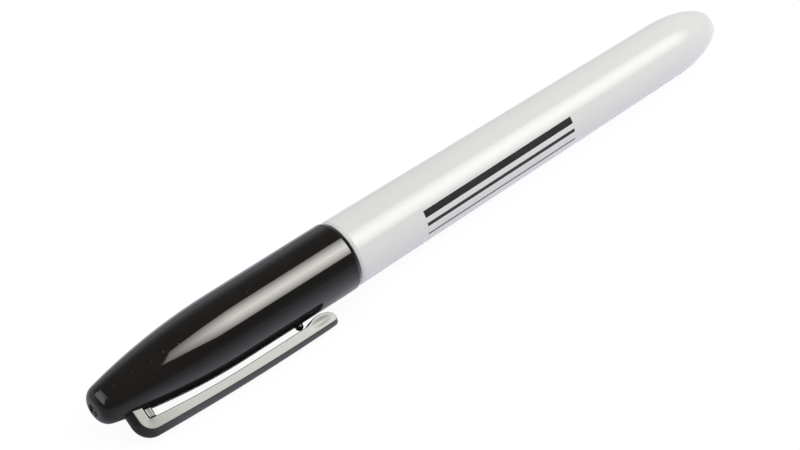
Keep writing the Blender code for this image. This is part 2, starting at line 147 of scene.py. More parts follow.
def rounded(corners: Sequence[Corner], steps: int = FILLET_STEPS) -> list[Point]:
    """Profile through corners, each rounded by its own fillet.

    A support point beside each fillet keeps the shading of the straight stretches flat.

    Args:
        corners: Radius, height and fillet of each corner.
        steps: Steps in each fillet.

    Returns:
        The points of the profile.
    """
    profile: list[Point] = []
    for i, (x, y, fillet) in enumerate(corners):
        corner = Vector((x, y))
        if fillet <= 0.0 or i in (0, len(corners) - 1):
            profile.append((x, y))
            continue
        before, after = (Vector(corners[j][:2]) - corner for j in (i - 1, i + 1))
        back, ahead = before.normalized(), after.normalized()
        half = before.angle(after) / 2
        reach = min(fillet / math.tan(half), FILLET_REACH * before.length, FILLET_REACH * after.length)
        radius = reach * math.tan(half)
        first, last = corner + back * reach, corner + ahead * reach
        middle = corner + (back + ahead).normalized() * radius / math.sin(half)
        if before.length > reach + 2 * SUPPORT:
            profile.append(tuple(first + back * SUPPORT))
        for share in spaced(0.0, 1.0, steps):
            spoke = (first - middle).normalized().slerp((last - middle).normalized(), share)
            profile.append(tuple(middle + spoke * radius))
        if after.length > reach + 2 * SUPPORT:
            profile.append(tuple(last + ahead * SUPPORT))
    return profile


@dataclass(frozen=True)
class MarkerFrame:
    """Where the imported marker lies.

    Attributes:
        place: Matrix from the marker's frame to the scene.
        start: World X of the cap's closed end.
    """

    place: Matrix
    start: float

    @classmethod
    def read(cls, frame: dict[str, Any]) -> "MarkerFrame":
        """Read the axis from the barrel and the side of the clip from its joint.


        Returns:
            The marker's frame.
        """
        low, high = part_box("barrel")
        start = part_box("cap_shell")[0].x
        joint = next(j for j in frame["joints"] if j["child"] == Body.CLIP.value)
        along = Vector((1.0, 0.0, 0.0))
        across = Vector(joint["axis"]).normalized()
        turn = Matrix((across.cross(along), across, along)).transposed().to_4x4()
        origin = Vector((start, (low.y + high.y) / 2, (low.z + high.z) / 2))
        return cls(Matrix.Translation(origin) @ turn, start)

    def span(self, node: str) -> Point:
        """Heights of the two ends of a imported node, from the closed end of the cap."""
        low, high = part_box(node)
        return low.x - self.start, high.x - self.start

    def world(self, radius: float, height: float) -> Vector:
        """Point in the scene on the clip's side of the axis."""
        return self.place @ Vector((radius, 0.0, height))


class NodeGraph:
    """A node tree with short calls to add nodes and join them."""

    def __init__(self, tree: bpy.types.NodeTree) -> None:
        """Start from an empty tree."""
        self.tree = tree
        tree.nodes.clear()

    def add(self, kind: str, inputs: dict[Any, Any] | None = None, **settings: Any) -> bpy.types.Node:
        """Add a node.

        Args:
            kind: Type of the node.
            inputs: Values or sockets for its inputs, by name or number.
            settings: Other properties of the node.

        Returns:
            The node.
        """
        node = self.tree.nodes.new(kind)
        for key, value in settings.items():
            setattr(node, key, value)
        self.feed(node, inputs or {})
        return node

    def feed(self, node: bpy.types.Node, inputs: dict[Any, Any]) -> None:
        """Set or link inputs of a node.

        Args:
            node: The node.
            inputs: Values or sockets for its inputs, by name or number.
        """
        for key, value in inputs.items():
            if isinstance(value, Socket):
                self.tree.links.new(value, node.inputs[key])
            else:
                node.inputs[key].default_value = value

    def out(self, kind: str, inputs: dict[Any, Any] | None = None, **settings: Any) -> Socket:
        """Add a node and give its first output."""
        return self.add(kind, inputs, **settings).outputs[0]

    def math(self, operation: str, *values: Any) -> Socket:
        """Add a Math node that works on numbers or sockets."""
        return self.out("ShaderNodeMath", dict(enumerate(values)), operation=operation)

    def product(self, *values: Any) -> Socket:
        """Multiply numbers or sockets.

        Args:
            values: What is multiplied, in order.

        Returns:
            The result's socket.
        """
        result = values[0]
        for value in values[1:]:
            result = self.math("MULTIPLY", result, value)
        return result

    def ramp(self, value: Any, low: float, high: float, start: float = 0.0, end: float = 1.0) -> Socket:
        """Map a value from the range low to high to the range start to end, clamped."""
        inputs = {"Value": value, "From Min": low, "From Max": high, "To Min": start, "To Max": end}
        return self.add("ShaderNodeMapRange", inputs).outputs["Result"]

    def mix(self, share: Any, first: Any, second: Any) -> Socket:
        """Mix two colours.

        Args:
            share: Share of the second colour.
            first: First colour, plain or as a socket.
            second: Second colour, plain or as a socket.

        Returns:
            The colour's socket.
        """
        colours = [(*c, 1.0) if isinstance(c, tuple) else c for c in (first, second)]
        inputs = {"Factor": share, MIX_FIRST: colours[0], MIX_SECOND: colours[1]}
        return self.add("ShaderNodeMix", inputs, data_type="RGBA").outputs[2]

    def choose(self, share: Socket, first: Socket, second: Socket) -> Socket:
        """Mix two shaders by the share of the second."""
        return self.out("ShaderNodeMixShader", {0: share, 1: first, 2: second})

    def noise(self, where: Socket, scale: float, detail: float = 2.0) -> Socket:
        """Noise with a number of features in a metre."""
        return self.out("ShaderNodeTexNoise", {"Vector": where, "Scale": scale, "Detail": detail})

    def lengthwise(self, where: Socket, squeeze: float) -> Socket:
        """Coordinates squeezed along the marker, which draw a pattern out into streaks."""
        return self.out("ShaderNodeMapping", {"Vector": where, "Scale": (squeeze, 1.0, 1.0)})

    def split(self, vector: Socket) -> list[Socket]:
        """The three parts of a vector."""
        return list(self.add("ShaderNodeSeparateXYZ", {0: vector}).outputs)

    def join(self, *parts: Any) -> Socket:
        """Vector made of its parts."""
        return self.out("ShaderNodeCombineXYZ", dict(enumerate(parts)))

    def polar(self, radius: Socket, turn: Socket, height: Socket) -> Socket:
        """Place at a distance from the Z axis, a turn about it and a height."""
        x, y = (self.product(radius, self.math(way, turn)) for way in ("COSINE", "SINE"))
        return self.join(x, y, height)


def new_material(name: str) -> tuple[Material, NodeGraph]:
    """Start a material.

    Args:
        name: Name of the material.

    Returns:
        The material and its empty graph.
    """
    material = bpy.data.materials.new(name)
    material.use_nodes = True
    return material, NodeGraph(material.node_tree)


@dataclass(frozen=True)
class Finish:
    """Finish of a surface.

    Attributes:
        name: Name of the material.
        colour: Main colour.
    """

    name: str
    colour: Colour

    def material(self) -> Material:
        """Build the material on a Principled shader.

        Returns:
            The material.
        """
        material, graph = new_material(self.name)
        where = graph.add("ShaderNodeTexCoord").outputs["Object"]
        shader = graph.add("ShaderNodeBsdfPrincipled", {"Base Color": (*self.colour, 1.0)})
        graph.feed(shader, self.inputs(graph, where))
        graph.add("ShaderNodeOutputMaterial", {"Surface": shader.outputs[0]})
        return material

    def inputs(self, graph: NodeGraph, where: Socket) -> dict[str, Any]:
        """Inputs of the shader on a place of the piece, by name."""
        raise NotImplementedError


@dataclass(frozen=True)
class MouldedPlastic(Finish):
    """Moulded plastic with a faint ripple, hairline scratches and a few specks of dust.

    Attributes:
        shade: Colour of the broad, faint clouds in it.
        dust: Colour of the specks.
        roughness: Roughness of clean plastic.
        spread: How much the roughness wanders.
        ior: Index of refraction.
        specular: Specular level.
        speck: Radius of a speck.
        speck_share: Share of the cells that hold a speck.
        speck_rough: How much rougher a speck is.
        ripple: Height of the ripple.
        milk: Weight of the light that passes under the surface.
        milk_depth: How far that light reaches.
        milk_tint: How far each of its colours reaches, as shares.
        painted_tail_light_colour: Colour reached by a painted brightening along X, which stands in for
            light that grows towards the tail; or nothing for no such brightening.
        painted_light_start: Place along X where the painted brightening starts.
        painted_light_end: Place along X where the painted brightening is full.
        cloud_scale: Clouds in a metre.
        patch_scale: Patches of like roughness in a metre.
        hairline_scale: Hairlines in a metre.
        hairline_squeeze: Squeeze that draws them out along the marker.
        ripple_scale: Ripples in a metre.
    """

    shade: Colour
    dust: Colour
    roughness: float
    spread: float
    ior: float = 1.5
    specular: float = 0.5
    speck: float = 0.06 * MM
    speck_share: float = 0.1
    speck_rough: float = 0.5
    ripple: float = 0.0006 * MM
    milk: float = 0.0
    milk_depth: float = 0.6 * MM
    milk_tint: Colour = (1.0, 0.9, 0.8)
    painted_tail_light_colour: Colour | None = None
    painted_light_start: float = 0.0
    painted_light_end: float = 0.0
    cloud_scale: float = 90.0
    patch_scale: float = 700.0
    hairline_scale: float = 4200.0
    hairline_squeeze: float = 0.03
    ripple_scale: float = 260.0

    def inputs(self, graph: NodeGraph, where: Socket) -> dict[str, Any]:
        """Colour with clouds, specks and a painted brightening along X where one is set, roughness with
        hairlines, and the ripple.

        Args:
            graph: The material's graph.
            where: Place on the piece.

        Returns:
            Inputs of the shader, by name.
        """
        clouds = graph.ramp(graph.noise(where, self.cloud_scale, detail=3.0), *CLOUD_BAND)
        colour = graph.mix(clouds, self.colour, self.shade)
        # Painted light: the colour brightens along X towards the tail, standing in for light that is
        # stronger there.
        if self.painted_tail_light_colour:
            painted_light_share = graph.ramp(graph.split(where)[0], self.painted_light_start, self.painted_light_end)
            colour = graph.mix(painted_light_share, colour, self.painted_tail_light_colour)

        cells = graph.add("ShaderNodeTexVoronoi", {"Vector": where, "Scale": SPECK_CELLS})
        reach = self.speck * SPECK_CELLS
        near = graph.ramp(cells.outputs["Distance"], reach, reach / 2)
        pick = graph.out("ShaderNodeSeparateColor", {0: cells.outputs["Color"]})
        speck = graph.product(near, graph.math("LESS_THAN", pick, self.speck_share))

        drawn = graph.lengthwise(where, self.hairline_squeeze)
        hairlines = graph.noise(drawn, self.hairline_scale, detail=1.0)
        scratch = graph.ramp(hairlines, *HAIRLINE_BAND, 0.0, self.spread)
        patches = graph.noise(where, self.patch_scale)
        ends = (self.roughness - self.spread, self.roughness + self.spread)
        wander = graph.ramp(patches, *MIDDLE_BAND, *ends)
        rough = graph.math("MULTIPLY_ADD", speck, self.speck_rough, graph.math("ADD", wander, scratch))
        peel = graph.noise(where, self.ripple_scale, detail=1.0)
        bump = graph.out("ShaderNodeBump", {"Height": peel, "Strength": 1.0, "Distance": self.ripple})
        return {
            "Base Color": graph.mix(speck, colour, self.dust),
            "Roughness": rough,
            "Normal": bump,
            "IOR": self.ior,
            "Specular IOR Level": self.specular,
            "Subsurface Weight": self.milk,
            "Subsurface Radius": self.milk_tint,
            "Subsurface Scale": self.milk_depth,
        }


@dataclass(frozen=True)
class InkedFibre(Finish):
    """Fibre soaked with ink, streaked along the marker.

    Attributes:
        dry: Colour of the strands that stand proud.
        strand: Width of a strand.
        squeeze: Squeeze that draws the streaks out along the marker.
        rough: Roughness of wet and of dry strands.
        relief: Strength of the bump.
        sheen: Weight of the sheen.
    """

    dry: Colour
    strand: float
    squeeze: float = 0.08
    rough: Point = (0.55, 0.9)
    relief: float = 0.7
    sheen: float = 0.15

    def inputs(self, graph: NodeGraph, where: Socket) -> dict[str, Any]:
        """Streaks in the colour, the roughness and the bump.

        Args:
            graph: The material's graph.
            where: Place on the piece.

        Returns:
            Inputs of the shader, by name.
        """
        streaks = graph.noise(graph.lengthwise(where, self.squeeze), 1.0 / self.strand, detail=3.0)
        height = {"Height": streaks, "Strength": self.relief, "Distance": self.strand / 4}
        return {
            "Base Color": graph.mix(graph.ramp(streaks, *STREAK_BAND), self.colour, self.dry),
            "Roughness": graph.ramp(streaks, *MIDDLE_BAND, *self.rough),
            "Normal": graph.out("ShaderNodeBump", height),
            "Sheen Weight": self.sheen,
        }


@dataclass(frozen=True)
class ClearFilm(Finish):
    """Thin clear film with faint lengthwise haze.

    Attributes:
        haze: Colour of the haze.
        haze_scale: Streaks of haze in a metre.
        squeeze: Squeeze that draws them out along the marker.
        rough: Least and greatest roughness.
        clear: Weight of the light that passes through.
        ior: Index of refraction.
    """

    haze: Colour = (0.9, 0.91, 0.92)
    haze_scale: float = 1800.0
    squeeze: float = 0.05
    rough: Point = (0.05, 0.2)
    clear: float = 0.85
    ior: float = 1.45

    def inputs(self, graph: NodeGraph, where: Socket) -> dict[str, Any]:
        """Haze in the colour and the roughness of a clear sheet.

        Args:
            graph: The material's graph.
            where: Place on the piece.

        Returns:
            Inputs of the shader, by name.
        """
        haze = graph.noise(graph.lengthwise(where, self.squeeze), self.haze_scale)
        return {
            "Base Color": graph.mix(haze, self.colour, self.haze),
            "Roughness": graph.ramp(haze, *MIDDLE_BAND, *self.rough),
            "Transmission Weight": self.clear,
            "IOR": self.ior,
        }


CAP_BLACK = MouldedPlastic(
    name="glossy_black_plastic",
    colour=(0.0118, 0.0108, 0.0098),
    shade=(0.0138, 0.0129, 0.012),
    dust=(0.13, 0.125, 0.12),
    roughness=0.045,
    spread=0.008,
    ior=1.59,
    speck=0.09 * MM,
    speck_share=0.45,
)
BARREL_PALE = MouldedPlastic(
    name="glossy_pale_plastic",
    colour=(0.77, 0.77, 0.752),
    shade=(0.755, 0.757, 0.745),
    dust=(0.6, 0.59, 0.57),
    roughness=0.03,
    spread=0.008,
    ior=1.49,
    specular=0.235,
    speck_share=0.03,
    # Painted light: paler towards the tail, standing in for light that is stronger there.
    painted_tail_light_colour=(0.806, 0.806, 0.787),
    painted_light_start=-10.0 * MM,
    painted_light_end=66.0 * MM,
)
SECTION_DARK = MouldedPlastic(
    name="satin_dark_plastic",
    colour=(0.02, 0.02, 0.021),
    shade=(0.026, 0.026, 0.027),
    dust=(0.07, 0.07, 0.07),
    roughness=0.32,
    spread=0.05,
)
LINER_WHITE = MouldedPlastic(
    name="natural_liner_plastic",
    colour=(0.78, 0.78, 0.755),
    shade=(0.74, 0.745, 0.73),
    dust=(0.5, 0.5, 0.48),
    roughness=0.38,
    spread=0.05,
    speck_share=0.03,
    milk=0.3,
)
PRINT_INK = MouldedPlastic(
    name="printed_grey_ink",
    colour=(0.03, 0.028, 0.028),
    shade=(0.045, 0.043, 0.042),
    dust=(0.12, 0.12, 0.12),
    roughness=0.24,
    spread=0.05,
    specular=0.25,
    speck=0.04 * MM,
    speck_share=0.2,
)
NIB_FELT = InkedFibre("inked_nib_fibre", (0.008, 0.008, 0.01), (0.03, 0.03, 0.034), 0.06 * MM)
INK_WADDING = InkedFibre("inked_wadding", (0.012, 0.012, 0.016), (0.06, 0.06, 0.07), 0.12 * MM)
FILM_CLEAR = ClearFilm("clear_film", (0.82, 0.84, 0.86))


def link(name: str, data: bpy.types.ID) -> Piece:
    """Put a mesh, a camera or a lamp in the scene.

    Args:
        name: Name of the object.
        data: What it holds.

    Returns:
        The object.
    """
    item = bpy.data.objects.new(name, data)
    bpy.context.scene.collection.objects.link(item)
    return item


def place(name: str, shape: bmesh.types.BMesh) -> Piece:
    """Put a shape in the scene and free it.

    Args:
        name: Name of the object.
        shape: The shape.

    Returns:
        The object.
    """
    mesh = bpy.data.meshes.new(name)
    shape.to_mesh(mesh)
    shape.free()
    return link(name, mesh)


def settle(piece: Piece) -> None:
    """Replace a piece's mesh by what its modifiers make, and remove them.

    Args:
        piece: The piece.
    """
    graph = bpy.context.evaluated_depsgraph_get()
    piece.update_tag()
    bpy.context.view_layer.update()
    made = bpy.data.meshes.new_from_object(piece.evaluated_get(graph), depsgraph=graph)
    piece.modifiers.clear()
    piece.data = made
    made.name = piece.name


class PieceTree:
    """Geometry nodes that grow a piece from a wire profile.

    Attributes:
        label: Name of the tree.
        sizes: Kind of each input that sets a size, by the input's name.
    """

    label: str = ""
    sizes: dict[str, str] = {}

    def __init__(self) -> None:
        """Build the tree: its inputs, its shape, and an end that leaves plain geometry with a material."""
        self.tree = bpy.data.node_groups.new(self.label, "GeometryNodeTree")
        self.tree.is_modifier = True
        graph = NodeGraph(self.tree)
        sockets = self.tree.interface
        self.keys: dict[str, str] = {}
        for name, kind in {"Profile": "Geometry", **self.sizes, "Material": "Material"}.items():
            socket = sockets.new_socket(name, in_out="INPUT", socket_type=f"NodeSocket{kind}")
            self.keys[name] = socket.identifier
        sockets.new_socket("Geometry", in_out="OUTPUT", socket_type="NodeSocketGeometry")
        given = graph.add("NodeGroupInput").outputs
        plain = graph.out("GeometryNodeRealizeInstances", {"Geometry": self.shape(graph, given)})
        smooth = graph.out("GeometryNodeSetShadeSmooth", {0: plain})
        dressed = graph.out("GeometryNodeSetMaterial", {"Geometry": smooth, "Material": given["Material"]})
        graph.add("NodeGroupOutput", {"Geometry": dressed})

    def shape(self, graph: NodeGraph, given: Any) -> Socket:
        """Geometry that the tree makes in a graph from its given inputs."""
        raise NotImplementedError

    def grow(self, name: str, profile: Sequence[Point], values: dict[str, Any]) -> Piece:
        """Run the tree on a wire and keep the result as a plain mesh.

        Args:
            name: Name of the piece.
            profile: Radius and height of each point of the wire.
            values: Value of each input, by its name.

        Returns:
            The piece in the marker's frame, with no modifier left on it.
        """
        wire = bpy.data.meshes.new(name)
        edges = [(i, i + 1) for i in range(len(profile) - 1)]
        wire.from_pydata([(radius, 0.0, height) for radius, height in profile], edges, [])
        piece = link(name, wire)
        modifier = piece.modifiers.new("Grow", "NODES")
        modifier.node_group = self.tree
        for label, value in values.items():
            modifier[self.keys[label]] = value
        settle(piece)
        return piece


class TurnedTree(PieceTree):
    """Geometry nodes that turn a wire profile about the Z axis."""

    label = "turned_profile"
    sizes = {"Steps": "Int", "Weld": "Float"}

    def shape(self, graph: NodeGraph, given: Any) -> Socket:
        """Wrap a grid round the axis, one column of it for each step, and weld it.

        Args:
            graph: The tree's graph.
            given: Its inputs.

        Returns:
            The geometry's socket.
        """
        profile, steps = given["Profile"], given["Steps"]
        counts = graph.add("GeometryNodeAttributeDomainSize", {"Geometry": profile})
        points = counts.outputs["Point Count"]
        columns = graph.math("ADD", steps, 1.0)
        grid = graph.out("GeometryNodeMeshGrid", {"Vertices X": columns, "Vertices Y": points})
        index = graph.out("GeometryNodeInputIndex")
        row = graph.math("MODULO", index, points)
        column = graph.math("FLOOR", graph.math("DIVIDE", graph.math("ADD", index, 0.5), points))
        turn = graph.product(graph.math("DIVIDE", column, steps), math.tau)
        wanted = {"Geometry": profile, "Value": graph.out("GeometryNodeInputPosition"), "Index": row}
        sample = graph.out("GeometryNodeSampleIndex", wanted, data_type="FLOAT_VECTOR")
        radius, _, height = graph.split(sample)
        wrapped = {"Geometry": grid, "Position": graph.polar(radius, turn, height)}
        moved = graph.out("GeometryNodeSetPosition", wrapped)
        return graph.out("GeometryNodeMergeByDistance", {"Geometry": moved, "Distance": given["Weld"]})

    def turn(self, name: str, profile: Sequence[Point], steps: int, material: Material) -> Piece:
        """Turn a profile that is closed, or ends on the axis, with a number of facets round it."""
        return self.grow(name, profile, {"Steps": steps, "Weld": WELD, "Material": material})


class StrandTree(PieceTree):
    """Geometry nodes that set strands side by side round the Z axis, each along a wire profile."""

    label = "strands_round_axis"
    sizes = {"Count": "Int", "Strand Radius": "Float", "Unevenness": "Float", "Seed": "Int"}

    def shape(self, graph: NodeGraph, given: Any) -> Socket:
        """Set copies of one strand round the axis, each sunk by a share of its distance from it.

        Args:
            graph: The tree's graph.
            given: Its inputs.

        Returns:
            The geometry's socket.
        """
        count = given["Count"]
        path = graph.out("GeometryNodeMeshToCurve", {"Mesh": given["Profile"]})
        circle = {"Resolution": STRAND_SIDES, "Radius": given["Strand Radius"]}
        section = graph.out("GeometryNodeCurvePrimitiveCircle", circle)
        tube = {"Curve": path, "Profile Curve": section, "Fill Caps": True}
        index = graph.out("GeometryNodeInputIndex")
        sway = self.random(graph, given, -STRAND_SWAY, STRAND_SWAY, 0)
        turn = graph.math("DIVIDE", graph.math("ADD", index, sway), count)
        shrink = graph.product(self.random(graph, given, 0.0, 1.0, 1), given["Unevenness"])
        girth = graph.math("SUBTRACT", 1.0, shrink)
        bundle = {
            "Points": graph.out("GeometryNodePoints", {"Count": count}),
            "Instance": graph.out("GeometryNodeCurveToMesh", tube),
            "Rotation": graph.join(0.0, 0.0, graph.product(turn, math.tau)),
            "Scale": graph.join(girth, girth, 1.0),
        }
        return graph.out("GeometryNodeInstanceOnPoints", bundle)

    @staticmethod
    def random(graph: NodeGraph, given: Any, low: float, high: float, stream: int) -> Socket:
        """Random value for each strand.

        Args:
            graph: The tree's graph.
            given: Its inputs, which have the seed.
            low: Least value.
            high: Greatest value.
            stream: Number that keeps one use apart from another.

        Returns:
            The value's socket.
        """
        seed = graph.math("ADD", given["Seed"], float(stream))
        node = graph.add("FunctionNodeRandomValue", {2: low, 3: high, "Seed": seed}, data_type="FLOAT")
        return node.outputs[1]


class StripeTree(PieceTree):
    """Geometry nodes that lay straight stripes along a tapered tube, each narrower than the one before."""

    label = "stripes_on_taper"
    sizes = {
        "Count": "Int",
        **dict.fromkeys(("Start", "Length", "Widest", "Pitch", "Turn", "Radius At Zero", "Taper"), "Float"),
    }

    def shape(self, graph: NodeGraph, given: Any) -> Socket:
        """Set flat stripes in a row and wrap them on the taper.

        Args:
            graph: The tree's graph.
            given: Its inputs.

        Returns:
            The geometry's socket.
        """
        count, length = given["Count"], given["Length"]
        columns, rows = STRIPE_GRID
        grid = {"Size X": 1.0, "Size Y": 1.0, "Vertices X": columns, "Vertices Y": rows}
        row = graph.out("GeometryNodeMeshLine", {"Count": count, "Offset": (0.0, 0.0, 0.0)})
        index = graph.out("GeometryNodeInputIndex")
        middle = graph.math("DIVIDE", graph.math("SUBTRACT", count, 1.0), 2.0)
        lane = graph.join(graph.product(graph.math("SUBTRACT", index, middle), given["Pitch"]))
        halved = graph.math("POWER", 2.0, graph.product(index, -1.0))
        bundle = {
            "Points": graph.out("GeometryNodeSetPosition", {"Geometry": row, "Position": lane}),
            "Instance": graph.out("GeometryNodeMeshGrid", grid),
            "Scale": graph.join(graph.product(given["Widest"], halved), length, 1.0),
        }
        stripes = graph.out("GeometryNodeInstanceOnPoints", bundle)
        flat = graph.out("GeometryNodeRealizeInstances", {"Geometry": stripes})
        across, along, _ = graph.split(graph.out("GeometryNodeInputPosition"))
        height = graph.math("ADD", graph.math("ADD", along, graph.product(length, 0.5)), given["Start"])
        radius = graph.math("SUBTRACT", given["Radius At Zero"], graph.product(height, given["Taper"]))
        turn = graph.math("ADD", graph.math("DIVIDE", across, radius), given["Turn"])
        wrapped = {"Geometry": flat, "Position": graph.polar(radius, turn, height)}
        return graph.out("GeometryNodeSetPosition", wrapped)


@dataclass
class SubAssembly:
    """Pieces of the marker that belong together.

    Attributes:
        at: The marker's frame.
        turned: Tree that makes turned pieces.
    """

    at: MarkerFrame
    turned: TurnedTree

    def seat(self, piece: Piece) -> None:
        """Turn a closed piece's faces outwards, shade it, and put its place in the scene into its mesh.

        Args:
            piece: A piece drawn in the marker's frame.
        """
        shape = bmesh.new()
        shape.from_mesh(piece.data)
        bmesh.ops.remove_doubles(shape, verts=shape.verts, dist=WELD)
        bmesh.ops.recalc_face_normals(shape, faces=shape.faces)
        shape.to_mesh(piece.data)
        shape.free()
        piece.data.shade_smooth()
        piece.data.set_sharp_from_angle(angle=SMOOTH_ANGLE)
        piece.data.transform(self.at.place)

    def show(self, piece: Piece, body: Body, slot: Slot, *nodes: str) -> None:
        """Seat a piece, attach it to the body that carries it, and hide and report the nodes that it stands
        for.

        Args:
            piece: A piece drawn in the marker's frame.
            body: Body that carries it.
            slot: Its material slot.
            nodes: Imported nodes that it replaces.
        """
        self.seat(piece)
        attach(piece, body.value)
        self.report(piece, slot, *nodes)

    @staticmethod
    def report(piece: Piece, slot: Slot, *nodes: str) -> None:
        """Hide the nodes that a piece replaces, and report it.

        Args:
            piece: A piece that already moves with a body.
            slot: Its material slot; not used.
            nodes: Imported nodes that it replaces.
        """
        if nodes:
            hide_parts(*nodes)
        LOG.info("%s: %d faces, for %s", piece.name, len(piece.data.polygons), ", ".join(nodes) or "detail")

    def stand_in(
        self, node: str, profile: Sequence[Point], steps: int, material: Material, body: Body, slot: Slot
    ) -> None:
        """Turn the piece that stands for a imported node, and show it."""
        piece = self.turned.turn(f"{node}_visual", profile, steps, material)
        self.show(piece, body, slot, node)


@dataclass
class Cap(SubAssembly):
    """Cap with its rounded end, dimple and nub, and the inner cup that seals the nib."""

    radius: float = 6.28 * MM
    wall: float = 1.0 * MM
    end_wall: float = 5.0 * MM
    inner_fillet: float = 0.4 * MM
    taper_length: float = 27.0 * MM
    taper_curve: float = 114.0 * MM
    end_fillet: float = 2.3 * MM
    rim_drop: float = 0.27 * MM
    rim_length: float = 0.66 * MM
    rim_edge: float = 0.08 * MM
    rim_shoulder: float = 0.5 * MM
    mouth_chamfer: float = 0.25 * MM
    parting_step: float = 0.02 * MM
    parting_length: float = 0.09 * MM
    dimple_radius: float = 1.2 * MM
    dimple_depth: float = 0.3 * MM
    dimple_draft: float = 0.15 * MM
    dimple_edge: float = 0.1 * MM
    gate_radius: float = 0.38 * MM
    gate_height: float = 0.14 * MM
    nub_height: float = 37.85 * MM
    nub_radius: float = 0.72 * MM
    nub_stand: float = 0.95 * MM
    nub_foot: float = 0.12 * MM
    gap: float = 0.3 * MM
    seal_wall: float = 0.7 * MM
    seal_chamfer: float = 0.2 * MM
    seal_edge: float = 0.15 * MM
    steps: int = 192
    nub_steps: int = 48
    seal_steps: int = 128
    inner_rows: int = 20
    outer_rows: int = 64
    dome_rows: int = 28
    fillet_rows: int = 8
    seal_rows: int = 16
    crown_rows: int = 16

    def radius_at(self, height: float) -> float:
        """Outer radius of the skirt and of the long curve at a height."""
        inward = max(0.0, self.taper_length - height)
        return self.radius - self.taper_curve + math.sqrt(self.taper_curve**2 - inward**2)

    def seal_radius_at(self, height: float) -> float:
        """Outer radius of the inner cup at a height."""
        return self.radius_at(height) - self.wall - self.gap

    def end_profile(self) -> list[Corner]:
        """Rounded end of the cap.

        Returns:
            The corners from the parting step to the gate mark on the axis.
        """
        across = self.taper_curve - self.end_fillet
        along = self.taper_length - self.end_fillet
        centre = (self.radius - self.taper_curve + math.sqrt(across**2 - along**2), self.end_fillet)
        lean = math.degrees(math.asin(along / across))
        last = -90.0 + math.degrees(math.asin(max(0.0, self.dimple_radius - centre[0]) / self.end_fillet))
        dome = arc(centre, self.end_fillet - self.parting_step, -lean, last, self.dome_rows)
        start = self.end_fillet - self.end_fillet * math.sin(math.radians(lean)) + self.parting_length
        face = dome[-1][1]
        floor = face + self.dimple_depth
        edge = self.dimple_edge
        step = [(self.radius_at(start), start, self.parting_step / 3)]
        hollow = [
            (self.dimple_radius, face, edge),
            (self.dimple_radius - self.dimple_draft, floor, edge),
            (self.gate_radius + self.dimple_draft, floor, edge),
            (self.gate_radius, floor - self.gate_height, edge),
            (0.0, floor - self.gate_height, 0.0),
        ]
        return step + sharp(dome[:-1]) + hollow

    def shell_profile(self) -> list[Point]:
        """Shell of the cap.

        Returns:
            The profile from the middle of its inner end, over the rim and along the outside to its end.
        """
        length = self.at.span("cap_shell")[1]
        bore = self.radius - self.wall
        end = self.end_profile()
        heights = spaced(self.end_wall, self.taper_length, self.inner_rows)
        inside = [(self.radius_at(h) - self.wall, h) for h in heights]
        heights = spaced(self.taper_length, end[0][1], self.outer_rows)
        outside = [(self.radius_at(h), h) for h in heights]
        corners = [
            (0.0, self.end_wall, 0.0),
            (*inside[0], self.inner_fillet),
            *sharp(inside[1:]),
            (bore, length - self.mouth_chamfer, self.mouth_chamfer / 3),
            (bore + self.mouth_chamfer, length, self.mouth_chamfer / 3),
            (self.radius - self.rim_drop, length, self.rim_edge),
            (self.radius, length - self.rim_length, self.rim_shoulder),
            *sharp(outside[:-1]),
            *end,
        ]
        return rounded(corners, self.fillet_rows)

    def seal_profile(self) -> list[Point]:
        """Inner cup, closed towards the end of the cap.

        Returns:
            The profile from the middle of its floor, over the lip and down the outside.
        """
        start, lip = self.at.span("cap_seal")
        floor = start + self.seal_wall
        outer = self.radius - self.wall - self.gap
        inner = outer - self.seal_wall
        heights = spaced(floor, self.taper_length, self.seal_rows)
        inside = [(self.seal_radius_at(h) - self.seal_wall, h) for h in heights]
        heights = spaced(self.taper_length, start, self.seal_rows)
        outside = [(self.seal_radius_at(h), h) for h in heights]
        corners = [
            (0.0, floor, 0.0),
            (*inside[0], self.inner_fillet),
            *sharp(inside[1:]),
            (inner, lip - self.seal_chamfer, self.seal_chamfer / 2),
            (inner + self.seal_chamfer, lip, self.seal_chamfer / 2),
            (outer, lip, self.seal_edge),
            *sharp(outside[:-1]),
            (*outside[-1], 2 * self.seal_edge),
            (0.0, start, 0.0),
        ]
        return rounded(corners)

    def nub_profile(self) -> list[Point]:
        """Ball nub on its own axis.

        Returns:
            The profile from its top to a foot sunk in the cap's wall.
        """
        crown = arc((0.0, self.nub_stand - self.nub_radius), self.nub_radius, 90, 0, self.crown_rows)
        crown[0] = (0.0, self.nub_stand)
        wide, sunk = self.nub_radius + self.nub_foot, -self.wall / 2
        foot = [
            (self.nub_radius, self.nub_foot, self.nub_foot),
            (wide, -self.nub_foot / 2, 0.0),
            (wide, sunk, 0.0),
            (0.0, sunk, 0.0),
        ]
        return rounded(sharp(crown) + foot)

    def build(self) -> None:
        """Build the cap, its nub and its inner cup."""
        black = CAP_BLACK.material()
        self.stand_in("cap_shell", self.shell_profile(), self.steps, black, Body.CAP, Slot.CAP)

        nub = self.turned.turn("cap_nub", self.nub_profile(), self.nub_steps, black)
        lean = Matrix.Rotation(math.pi / 2, 4, "Y")
        nub.data.transform(Matrix.Translation((self.radius, 0.0, self.nub_height)) @ lean)
        self.show(nub, Body.CAP, Slot.CAP)

        liner = LINER_WHITE.material()
        self.stand_in("cap_seal", self.seal_profile(), self.seal_steps, liner, Body.CAP, Slot.LINER)


